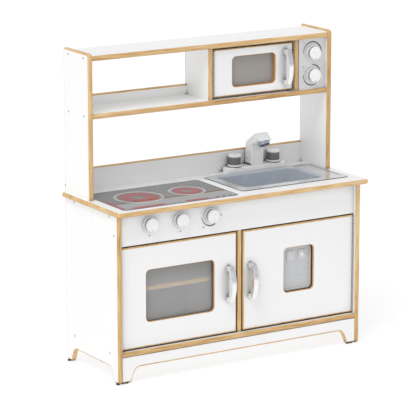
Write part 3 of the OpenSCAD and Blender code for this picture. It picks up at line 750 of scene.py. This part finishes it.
def handle_piece(node):
    """D-shaped handle: straight inside, arched outside, with softly rounded sides."""
    lo, hi = mbox(node)
    x0, _, z0 = centre(node)
    w, length, out = hi.x - lo.x, hi.z - lo.z, hi.y - lo.y
    end_out, gap, foot = 22, 18, 15     # outer height of the ends, finger gap, length of a foot
    rise = out - end_out
    rad = (length ** 2 / 4 + rise ** 2) / (2 * rise)
    n = 28
    a_end = asin(length / 2 / rad)
    arc = []
    for i in range(n + 1):
        a = a_end - 2 * a_end * i / n
        arc.append((rad * sin(a), out - rad + rad * cos(a), 5 if i in (0, n) else 0))
    del arc[n - 1], arc[1]      # swallowed by the rounded ends
    # outline as (up, outward), counter-clockwise
    end, inner = length / 2, length / 2 - foot
    loop = rounded([(end, 0, 0.8), *arc, (-end, 0, 0.8), (-inner, 0, 0.8), (-inner, gap, 6), (inner, gap, 6),
                    (inner, 0, 0.8)], 6)
    p = Piece()
    ns = outline_normals(loop)
    rings = []
    for inset, c, side, face in edge_steps(2.2, 2.2, w, 5):
        ring = []
        for (z, y, _), (off, nn) in zip(loop, ns):
            # the sides are rounded fully outside, little in the finger gap and at the door
            inside = abs(z) < inner + 1 and y < gap + 0.5
            k = inset * (0.15 if inside else 0.35 + 0.65 * min(1.0, max(0.0, y / 4.0)))
            yy = max(0.0, y - off.y * k) if y > 0.01 else 0.0
            ring.append(p.vert(Vector((x0 - w / 2 + c, hi.y - yy, z0 + z - off.x * k)) * MM,
                               Vector((face, -nn.y * side, nn.x * side))))
        rings.append(ring)
    p.skin(rings, CHROME)
    for ring, way in ((rings[0], -1), (rings[-1], 1)):
        p.fill(ring, [[p.v[i][1:] for i in ring]], X * way, CHROME)
    p.build(node + "_grip", node)


for node in ("oven_handle", "cupboard_handle", "microwave_handle"):
    handle_piece(node)


# ---- knobs

KNOB_H = 20.5           # from the panel's face to the knob's front
INDEX_OFF = 20 - 4.6    # the index dot's distance below the knob's centre


def knob_piece(node, panel_t):
    x, _, z = centre(node)
    o = Vector((x, mbox(node)[0].y + KNOB_H, z))
    p = Piece()
    add_lathe(p, [
        (0, -panel_t - 5, 0), (3.4, -panel_t - 5, 0.4), (4.6, -panel_t - 2, 0.4), (4.6, -panel_t - 0.5, 0.2),
        (3.9, -panel_t - 0.5, 0.1), (3.9, 0.7, 0.1), (22.3, 0.7, 0.6), (22.3, 3.2, 1.2), (19.4, 4.9, 0.8),
        (18.6, 14.4, 0.5, KNOB_BARREL), (19.9, 15.2, 0.5, KNOB_CAP), (19.9, 18.9, 1.3), (18.3, KNOB_H - 0.1, 0.8),
        (2, KNOB_H - 0.1), (0, KNOB_H - 0.1)], KNOB_SIDE, o, FRONT, 72)
    add_lathe(p, [(1.5, KNOB_H - 0.3), (1.5, KNOB_H, 0.1), (0, KNOB_H)], PRINT_DARK, o - Z * INDEX_OFF, FRONT, 20)
    p.build(node + "_cap", node)


for nodes, panel_t in ((KNOBS, 15), (CONTROLS, 12)):
    for node in nodes:
        knob_piece(node, panel_t)


# ---- tap

HANDLE_H = 38
BARREL_R, GROOVE_R = 18.6, 17.7


def tap_handle_piece(node):
    """Dark ring, white skirt, ribbed grey barrel with three grooves, white cap."""
    x, y, _ = centre(node)
    o = Vector((x, y, mbox(node)[1].z - HANDLE_H))
    p = Piece()
    add_lathe(p, [
        (0, -11), (3.9, -11, 0.4), (3.9, 0.45, 0.1), (22.2, 0.45, 0.4), (22.2, 2.4, 0.4), (21.6, 2.5, 0.1, TAP_WHITE),
        (21.4, 5.2, 1.2), (18.9, 6.2, 0.6), (BARREL_R, 6.6, 0, BARREL)], RING_DARK, o, UP, 72)
    rows = [(BARREL_R, 6.6), (BARREL_R, 8.4)]
    for z in (10.2, 15.6, 21.0):
        rows += [(BARREL_R, z), (GROOVE_R, z + 0.6), (GROOVE_R, z + 1.3), (BARREL_R, z + 1.9)]
    rows += [(BARREL_R, 28.6), (BARREL_R, 30.2)]
    add_lathe(p, rows, BARREL, o, UP, 180, flute=(8.4, 28.6, 30, 1.2))
    add_lathe(p, [(BARREL_R, 30.2), (20.3, 30.6, 0.4), (20.4, 35.0, 2.6), (18.2, 37.9, 2.6), (2, 37.9), (0, 37.9)],
              TAP_WHITE, o, UP, 72, 5)
    p.build(node + "_valve", node)


tap_handle_piece("tap_handle_left")
tap_handle_piece("tap_handle_right")

BASE_H, STUD_OFF = 17, 45
lo, hi = mbox("tap_base")
TAP = Vector((*centre("tap_base")[:2], hi.z))
p = Piece()
add_slab(p, (Vector((lo.x, lo.y, TAP.z - BASE_H)), hi), "Z", (hi.y - lo.y) / 2 - 0.01, TAP_WHITE,
         (0.6, 4.5), 6, n=16)
for s in (-1, 1):
    add_lathe(p, [(0, -20), (4.9, -20, 0.5), (4.9, -16.5)], TAP_WHITE, TAP + X * STUD_OFF * s, UP, 24)
p.build("tap_base_bar", "tap_base")

# spout: a bent plate. Points are (toward back, up) from the centre of its bend, counter-clockwise.
SPOUT_IN, SPOUT_D = 11, 37
SPOUT_OUT = SPOUT_IN + SPOUT_D
BEND = Vector((TAP.y - SPOUT_D / 2 - SPOUT_IN, TAP.z + 59))
NOSE_TOP, NOSE_LOW = (-37, SPOUT_OUT - 23), (-9, SPOUT_OUT - 41)
lo, hi = mbox("tap_spout")
SPOUT_X = centre("tap_spout")[0]
foot_z = TAP.z - BEND.y
loop = rounded([(SPOUT_IN, foot_z, 0.8), (SPOUT_OUT, foot_z, 0.8), (SPOUT_OUT, 9, 26), (-11, SPOUT_OUT - 0.6, 13),
                (NOSE_TOP[0] - 0.5, NOSE_TOP[1], 3), (*NOSE_LOW, 3), (6, SPOUT_IN, 8)], 12)
p = Piece()
add_plate(p, [(BEND.x + y, BEND.y + z, kind) for y, z, kind in loop], [], hi.x - lo.x, "X", lo.x,
          TAP_WHITE, (5.0, 5.0), 6)
p.build("tap_spout_body", "tap_spout")

# aerator: a turned ring in the nose, with a mesh of three rings and eight spokes over a dark disc: painted shade of
# the bore behind the mesh
run = (Vector(NOSE_LOW) - Vector(NOSE_TOP)).normalized()
mid = (Vector(NOSE_LOW) + Vector(NOSE_TOP)) / 2 + BEND
axis_dir = Vector((0, run.y, -run.x)).normalized()
up_dir = axis_dir.cross(X)
o = Vector((SPOUT_X, mid.x, mid.y))
basis = (X, up_dir, axis_dir)
p = Piece()
add_lathe(p, [
    (0, -4.9), (7.9, -4.9, 0.3), (7.9, 0.1), (18.9, 0.1, 0.5), (18.75, 1.4, 0.4), (18.1, 1.7, 0.2), (17.9, 2.3, 0.2),
    (18.3, 2.7, 0.3), (17.5, 8.0, 0.4), (17.1, 9.0, 0.4), (14.6, 9.0, 0.5), (13.2, 7.6, 0.4), (13.1, 5.0, 0.1),
    (13.1, 4.2, 0, MOUTH_SHADE), (0, 4.2)], AERATOR, o, basis)
for k in range(3):
    add_lathe(p, [(4 * k + 2.2, 4.25), (4 * k + 2.4, 5.2, 0.15), (4 * k + 3.0, 5.2, 0.15), (4 * k + 3.2, 4.25)],
              AERATOR, o, basis, 48)
for k in range(8):
    d = X * cos(pi * k / 4) + up_dir * sin(pi * k / 4)
    e = axis_dir.cross(d)
    spoke = [(o + d * a + e * b + axis_dir * 5.25) * MM
             for a, b in ((2.4, -0.35), (12.9, -0.35), (12.9, 0.35), (2.4, 0.35))]
    p.face([p.vert(q, axis_dir) for q in spoke], AERATOR)
p.build("aerator_ring", "tap_aerator")


# ---- sink

DRAINER = (BOWL[0] + 168.5, BOWL[1] - 4)    # centre and half sizes of the drainer
DRAINER_HALF = (28, 89)
BOWL_HALF = (136.5, 82)


def bowl_loop(grow, r):
    return around(*BOWL, BOWL_HALF[0] + grow, BOWL_HALF[1] + grow, r, 10)


def drainer(p, top):
    """Shallow ribbed floor of the drainer, as a grid with exact normals."""
    deep, pitch, rib = 0.85, 14, 0.22       # ribs stand twice rib high
    flat_end, fade_run = 12, 8              # the ribs end this far from the ends, over this length
    nu, nv, over = 64, 90, 0.5
    x0, x1 = DRAINER[0] - DRAINER_HALF[0], DRAINER[0] + DRAINER_HALF[0]
    y0, y1 = DRAINER[1] - DRAINER_HALF[1], DRAINER[1] + DRAINER_HALF[1]
    ids = []
    for j in range(nv + 1):
        y = y0 - over + (y1 - y0 + 2 * over) * j / nv
        fade = min(1, max(0, (min(y - y0, y1 - y) - flat_end) / fade_run))
        row = []
        for i in range(nu + 1):
            x = x0 - over + (x1 - x0 + 2 * over) * i / nu
            w = 2 * pi * (x - x0) / pitch
            h, slope = rib * (1 - cos(w)) * fade, rib * sin(w) * 2 * pi / pitch * fade
            row.append(p.vert(Vector((x, y, top - deep + h)) * MM, Vector((-slope, 0, 1)).normalized()))
        ids.append(row)
    for low, high in zip(ids, ids[1:]):
        for i in range(nu):
            p.face((low[i], low[i + 1], high[i + 1], high[i]), SINK_RIM)


def bowl_skin(p, rows, top, flip, up):
    """Wall and bottom from rows of (growth of the bowl's outline, height, share of the outward
    normal, share of the upward normal, corner radius)."""
    rings = []
    for grow, dz, outward, upward, r in rows:
        loop = bowl_loop(grow, r)
        rings.append([p.vert(Vector((q[0], q[1], top + dz)) * MM,
                             Vector((nn.x * outward, nn.y * outward, upward)).normalized())
                      for q, (_, nn) in zip(loop, outline_normals(loop))])
    p.skin(rings, SINK_BOWL, flip)
    p.fill(rings[-1], [[q[:2] for q in loop]], Z * up, SINK_BOWL)


lo, hi = mbox("sink_basin")
rim_t, lap, seg = 1.1, 1.6, 5
p = Piece()
# rim: dark grey on all its edges, painted shade round the rim, the bowl and the drainer
add_slab(p, (Vector((lo.x, lo.y, hi.z - rim_t)), hi), "Z", 14, (SINK_RIM, SINK_RIM, RIM_EDGE_SHADE), (0.2, 0.6), 4,
         [hole(bowl_loop(6, 24)), hole(around(*DRAINER, *DRAINER_HALF, 10, 10))], 10)
# dark sheet just under the rim, inset by lap: painted shadow of the gap under the rim
add_plate(p, rect(lo.x + lap, hi.x - lap, lo.y + lap, hi.y - lap, 13, 10), [hole(bowl_loop(5, 24))],
          0.8, "Z", hi.z - 1.95, RIM_SHADOW_SHEET, (0.1, 0.1), 1)
drainer(p, hi.z)
roll, wall_low, round_r = 6.3, -60, 8
rows = []
for i in range(seg + 1):        # roll from the rim down into the bowl
    a = pi / 2 * i / seg
    rows.append((roll * (1 - sin(a)), -6.0 * (1 - cos(a)), -sin(a), cos(a), 24))
rows.append((-4, wall_low, -1, 0.05, 20))
for i in range(1, seg + 1):     # round into the bottom
    a = pi / 2 * i / seg
    rows.append((-4 - round_r * (1 - cos(a)), wall_low - round_r * sin(a), -cos(a), sin(a),
                 16 - i))
bowl_skin(p, rows, hi.z, False, 1)
bowl_skin(p, [(2.0, -2.0, 1, 0, 20), (2.0, -40, 1, 0, 20), (-1, -62, 1, -0.2, 18), (-5, -68.5, 0.7, -0.7, 16),
              (-12, -70, 0, -1, 12)], hi.z, True, -1)
p.build("sink_moulding", "sink_basin")


# ---- hob and prints

p = Piece()
add_slab(p, mbox("hob_plate"), "Z", 12, HOB, (0.2, 0.8), 3, n=10)
p.build("hob_surface", "hob_plate")

# burners: two white rings round a red zone, as (x from the plate's middle, radius)
BURNERS, BURNER_DEPTH = ((-75, 73.0), (88, 54.6)), 122
lo, hi = mbox("hob_plate")
hob_x = centre("hob_plate")[0]
p = Piece()
hob = Print(p, "Z", hi.z)
for dx, r in BURNERS:
    x, y = hob_x + dx, at(BURNER_DEPTH)
    hob.ring(x, y, r, 1.9, PRINT_WHITE, 96)
    hob.ring(x, y, r - 5, 1.5, PRINT_WHITE, 96)
    hob.film(disc(x, y, r * 0.8, 96), ZONE, hole(disc(x, y, r * 0.28, 64)))

# marks along the hob's front and left edges
y = lo.y + 3
for x0, x1 in ((-366, -257), (-186, -111)):
    hob.film(rect(x0, x1, y, y + 11, 2), PRINT_RED)
hob.film(rect(lo.x + 2, lo.x + 8, y + 5, y + 112, 1), PRINT_RED)
for first, count in ((-253, 11), (-107, 3)):
    for k in range(count):
        hob.film(rect(first + 6 * k, first + 4 + 6 * k, y + 0.8, y + 6.0, 0.6, 3), PRINT_GREY)
for k in range(7):
    x, odd = -84 + 10.5 * k, k % 2
    hob.ring(x, y + 12.6, 3.2, 1.4, PRINT_DARK if odd else PRINT_GREY, 20)
    hob.film(rect(x - 2.6, x + 2.6, y + 1.2, y + 6.0, 0.5, 3), PRINT_GREY if odd else PRINT_DARK)
p.build("hob_printing", "hob_print")

# dials and icons around the knobs
p = Piece()
front = Print(p, "Y", mbox("fascia")[0].y - PRINT_T)
x, _, z = centre("hob_knob_right")
front.film(arc_band(x, z, 30.6, [(182, 1.2), (250, 3.0), (300, 3.6)]), PRINT_DARK)
front.film(arc_band(x, z, 36, [(-9, 2.4), (-1, 3.0)], 6), PRINT_DARK)
front.ring(x - 25, z - 33, 4, 0.9, PRINT_GREY)
front.film(rect(x - 26.8, x - 23.2, z - 34.4, z - 31.6, 0.8, 3), PRINT_GREY)
for node in ("hob_knob_left", "hob_knob_middle"):
    x, _, z = centre(node)
    front.film(disc(x, z - 34, 1.9, 20), PRINT_DARK)
front.film(disc(x - 9.5, z - 34, 1.3, 16), PRINT_GREY)
dial = Print(p, "Y", mbox("control_plate")[0].y - PRINT_T)
x, _, z = centre("control_knob_upper")
dial.film(arc_band(x, z, 32.4, [(-4, 2.0), (10, 3.6), (95, 3.4), (182, 1.2)]), PRINT_DARK)
dial.ring(x - 30.8, z + 32.5, 3.4, 0.9, PRINT_GREY)
dial.film(disc(x - 30.8, z + 32.5, 1.1, 12), PRINT_GREY)
x, _, z = centre("control_knob_lower")
dial.film(arc_band(x, z, 31.6, [(176, 1.2), (222, 3.2), (262, 3.4), (297, 1.8)]), PRINT_DARK)
dial.film(arc_band(x, z, 31.0, [(22, 2.0), (50, 3.4), (90, 2.4)]), PRINT_DARK)
dial.ring(x - 31.9, z + 26, 3.4, 0.9, PRINT_GREY)
dial.film(rect(x - 33.2, x - 30.6, z + 25, z + 27, 0.5, 3), PRINT_GREY)
p.build("dial_printing", "dial_prints")


# ---- dispenser

FLOOR_T, RIM_IN, RIM_W = 3, 8.5, 6      # the tray's floor, its rim's place and width
lo, hi = mbox("dispenser_panel")
p = Piece()
add_slab(p, (Vector((lo.x, hi.y - FLOOR_T, lo.z)), hi), "Y", 13, TRAY, (0.4, 0.4), 2, n=8)
outer, inner = (rect(lo.x + k, hi.x - k, lo.z + k, hi.z - k, r, 8) for k, r in ((RIM_IN, 12.5), (RIM_IN + RIM_W, 9)))
add_plate(p, outer, [hole(inner, TRAY_EDGE)], hi.y - lo.y - FLOOR_T, "Y", lo.y, (TRAY, TRAY_EDGE), (1.2, 0.2), 4)
p.build("dispenser_tray", "dispenser_panel")

# two raised tiles with a frame and an icon each
TILE_HALF, TILE_IN = 13.5, 0.3      # half width of a tile, how far its face lies behind the CAD's
lo, hi = mbox("dispenser_tiles")
p = Piece()
icons = Print(p, "Y", lo.y + 0.08)
z = centre("dispenser_tiles")[2]
for x, curls in ((lo.x + TILE_HALF, True), (hi.x - TILE_HALF, False)):
    add_plate(p, rect(x - TILE_HALF, x + TILE_HALF, lo.z, hi.z, 4, 5), [], hi.y - lo.y - TILE_IN, "Y",
              lo.y + TILE_IN, TILE, (0.8, 0.2), 3)
    icons.film(rect(x - 12, x + 12, lo.z + 1.5, hi.z - 1.5, 3), TRAY_EDGE,
               hole(rect(x - 10.6, x + 10.6, lo.z + 2.9, hi.z - 2.9, 2)))
    if curls:
        for dx, dz, a0, a1 in ((-2.6, 4, 20, 200), (2.6, 4, 200, 340), (-2.6, -1.5, 20, 200), (2.6, -1.5, 200, 340)):
            icons.film(arc_band(x + dx, z + dz, 2.9, [(a0, 1.3), (a1, 1.3)], 10), ICON_LIGHT)
        icons.film(rect(x - 5, x + 5, z - 9, z - 7.6, 0.6, 3), ICON_LIGHT)
    else:
        icons.film(rect(x - 5.6, x + 5.6, z - 5, z + 6.2, 2.2), ICON_LIGHT)
        icons.film(rect(x - 5.6, x + 5.6, z - 9, z - 7.6, 0.6, 3), ICON_LIGHT)
p.build("dispenser_buttons", "dispenser_tiles")


# ---- fasteners and feet

CHAMFER, SOCKET_DEEP = 0.35, 1.1


def screw_head(p, origin, basis, r, deep, mat, socket=1.7):
    """Top of a screw at origin, facing along the basis' z, with a hexagon socket."""
    bx, by, bz = basis
    turn = [2 * pi * i / 30 for i in range(30)]
    hexagon = [-pi / 3 * i for i in range(6)]

    def around_axis(a):
        return bx * cos(a) + by * sin(a)

    def row(radius, angles, dz, outward=0, forward=1):
        return [p.vert((origin + around_axis(a) * radius + bz * dz) * MM,
                       (around_axis(a) * outward + bz * forward).normalized()) for a in angles]

    def flat(radius, angles):
        return [(radius * cos(a), radius * sin(a)) for a in angles]

    top = r - CHAMFER
    p.skin([row(r, turn, -deep, 1, 0), row(r, turn, -CHAMFER, 1, 0), row(top, turn, 0, 0.3, 1)], mat)
    p.fill(row(top, turn, 0) + row(socket, hexagon, 0), [flat(top, turn), flat(socket, hexagon)], bz, mat)
    # socket walls and floor: painted shade of the recess
    for a in hexagon:
        b = a - pi / 3
        inward = -around_axis((a + b) / 2)
        wall = ((a, 0), (a, -SOCKET_DEEP), (b, -SOCKET_DEEP), (b, 0))
        p.face([p.vert((origin + around_axis(q) * socket + bz * dz) * MM, inward) for q, dz in wall], SOCKET_SHADE)
    p.fill(row(socket, hexagon, -SOCKET_DEEP), [flat(socket, hexagon)], bz, SOCKET_SHADE)


def ends(node, axis, sign):
    """Centres, in mm, of a node's outermost flat discs along an axis, such as its screw heads."""
    co = [v.co / MM for v in NODES[node].data.vertices]
    top = max(sign * c[axis] for c in co)
    found = []
    for c in co:
        if sign * c[axis] < top - 0.01:
            continue
        for g in found:
            if (g[0] - c).length < 12:
                g.append(c)
                break
        else:
            found.append([c])
    return [sum(g, Vector()) / len(g) for g in found]


THREAD, THREAD_PITCH = 20, 1.3
p = Piece()
for sign, basis in ((-1, LEFT), (1, RIGHT)):
    for c in ends("panel_screws", 0, sign):
        screw_head(p, c + X * sign * CHAMFER, basis, 3.6, 1.8, SCREW)
        thread = [(1.6 + 0.5 * (k % 2), -39 + THREAD_PITCH * k) for k in range(THREAD)]
        add_lathe(p, [(0, -44.5), (2.1, -39), *thread, (2.1, -12), (2.1, -1.6)], STEEL, c, basis, 12)
p.build("carcass_screws", "panel_screws")

for door in ("oven", "cupboard", "microwave"):
    node = door + "_handle_screws"
    p = Piece()
    for c in ends(node, 1, 1):
        screw_head(p, c, BACKWARD, 3.7, 1.5, STEEL)
        add_lathe(p, [(0, -28), (1.9, -26.5), (1.9, -1.6), (3.7, -1.55)], STEEL, c, BACKWARD, 20)
    p.build(node + "_pair", node)
    node = door + "_strike_plate"
    x, _, z = centre(node)
    p = Piece()
    add_slab(p, mbox(node), "Y", 2, STEEL, (0.1, 0.4), 2, [hole(disc(x, z, 3.1, 24))], 4)
    screw_head(p, Vector((x, mbox(node)[1].y - 0.3, z)), BACKWARD, 2.9, 1.0, STEEL, 1.3)
    p.build(node + "_pressed", node)

p = Piece()
for c in ends("foot_glides", 2, 1):
    add_lathe(p, [(0, -2.95), (4.9, -2.95), (6.0, -1.9, 0.7), (6.45, -0.6, 0.5), (6.45, -0.02, 0.1), (0, -0.02)],
              GLIDE, c, UP, 40)
p.build("foot_glide_pads", "foot_glides")

p = Piece()
lo, hi = mbox("joining_dowels")
low = lo.z - hi.z
for c in ends("joining_dowels", 2, 1):
    add_lathe(p, [(0, low), (2.8, low), (3.95, low + 1.4), (3.95, -1.4), (2.8, 0), (0, 0)], BEECH, c, UP, 72,
              flute=(low + 2, -2, 24, 0.35))
p.build("fluted_dowels", "joining_dowels")

# shelf pegs: the outer pair points left, the pair on the centre divider points right
p = Piece()
for c in ends("shelf_pegs", 0, 1) + ends("shelf_pegs", 0, -1):
    add_lathe(p, [(0, -16), (2.0, -16), (2.45, -15.4), (2.45, -8.6), (2.1, -8.2), (2.1, -7.8), (2.45, -7.4),
                  (2.45, -0.6), (2.0, 0), (0, 0)], STEEL, c, LEFT if c.x < -300 else RIGHT, 24)
p.build("grooved_pegs", "shelf_pegs")

RAIL_W = 24
lo, hi = mbox("worktop_rails")
p = Piece()
for y0, y1 in ((lo.y, lo.y + RAIL_W), (hi.y - RAIL_W, hi.y)):
    add_slab(p, (Vector((lo.x, y0, lo.z)), Vector((hi.x, y1, hi.z))), "Z", 0.8, BEECH_X, (0.8, 0.8), 2, n=3)
p.build("support_rails", "worktop_rails")

# magnetic catches: moulded body, two steel poles, the magnet between them
p = Piece()
poles = ends("magnet_catches", 1, -1)
for x in sorted({round(c.x, 1) for c in poles}):
    mine = [c for c in poles if abs(c.x - x) < 1]
    y, z = min(c.y for c in mine), sum(c.z for c in mine) / len(mine)
    add_plate(p, around(x, z, 8.4, 8.9, 1.6, 4), [], 16.8, "Y", y + 1.1, CATCH, (1.2, 0.8), 3)
    for s in (-1, 1):
        add_plate(p, around(x, z + s * 3, 5.9, 0.75, 0.3, 2), [], 2, "Y", y + 0.05, STEEL, (0.2, 0.2), 1)
    add_plate(p, around(x, z, 6.2, 1.6, 0.4, 2), [], 0.7, "Y", y + 0.7, MAGNET, (0.2, 0.1), 1)
p.build("catch_bodies", "magnet_catches")

# the hinges keep the CAD's meshes
for mesh in [NODES[node].data for node in NODES if "hinge" in node]:
    mesh.materials.clear()
    mesh.materials.append(HINGE)


# ---- stage

FLOOR_HALF, FLOOR_GLOW = 9.0, 0.64
SKY, FRONT_SKY = (0.7, 0.7, 0.7), (0.7, 0.7, 0.721)
SUN, SUN_ANGLE, SUN_WAY = 0.37, 28, (0.27, 0.16, -0.45)
FILLS = {   # name: (place, target, power)
    "fill": ((1.8, -4.5, 1.6), (0, 0, 0.5), 4),
    "side_fill": ((-3.2, -3.4, 1.1), (0.3, 0, 0.75), 14),
}
CAMERA, YAW, PITCH, FOCAL = (-3.80261, -6.06888, 2.12136), 0.55604, -0.2301, 5.97024


def aim(o, way):
    o.rotation_mode = "QUATERNION"
    o.rotation_quaternion = Vector(way).to_track_quat("-Z", "Y")


def stage():
    scene = bpy.context.scene
    s = FLOOR_HALF
    me = bpy.data.meshes.new("floor")
    me.from_pydata([(-s, -s, 0), (s, -s, 0), (s, s, 0), (-s, s, 0)], [], [(0, 1, 2, 3)])
    floor = add_object("floor", me)
    m = Mat("floor_white", (0.35, 0.35, 0.35), 0.8, Emission_Color=(1, 1, 1, 1), Emission_Strength=FLOOR_GLOW)
    me.materials.append(m.done(m.blend(m.noise(3.0, 3.0, 0.5), (0.35, 0.35, 0.35), (0.36, 0.36, 0.36))))

    world = bpy.data.worlds.new("studio")
    scene.world = world
    world.use_nodes = True
    w = Nodes(world.node_tree)
    way = w.add("TexCoord").outputs["Generated"]
    behind = w.ramp(w.part(way, "Z"), [(0.25, (1, 1, 1)), (0.5, SKY)])
    sky = w.blend(w.part(way, "Y"), FRONT_SKY, behind, -0.35, 0.25)
    w.tree.links.new(sky, w.tree.nodes["Background"].inputs["Color"])

    sun = bpy.data.lights.new("key", "SUN")
    sun.angle = radians(SUN_ANGLE)
    sun.energy = SUN * pi
    aim(add_object("key", sun), SUN_WAY)
    for name, (place, target, power) in FILLS.items():
        light = bpy.data.lights.new(name, "AREA")
        light.shape = "RECTANGLE"
        light.size = light.size_y = 2.0
        light.energy = power
        o = add_object(name, light)
        o.location = place
        aim(o, Vector(target) - Vector(place))

    cam = bpy.data.cameras.new("camera")
    cam.sensor_width = 36
    cam.lens = FOCAL * cam.sensor_width
    cam.clip_start, cam.clip_end = 0.1, 60
    scene.camera = add_object("camera", cam)
    scene.camera.location = CAMERA
    aim(scene.camera, (sin(YAW) * cos(PITCH), cos(YAW) * cos(PITCH), sin(PITCH)))
    scene.view_settings.view_transform = "Standard"


stage()
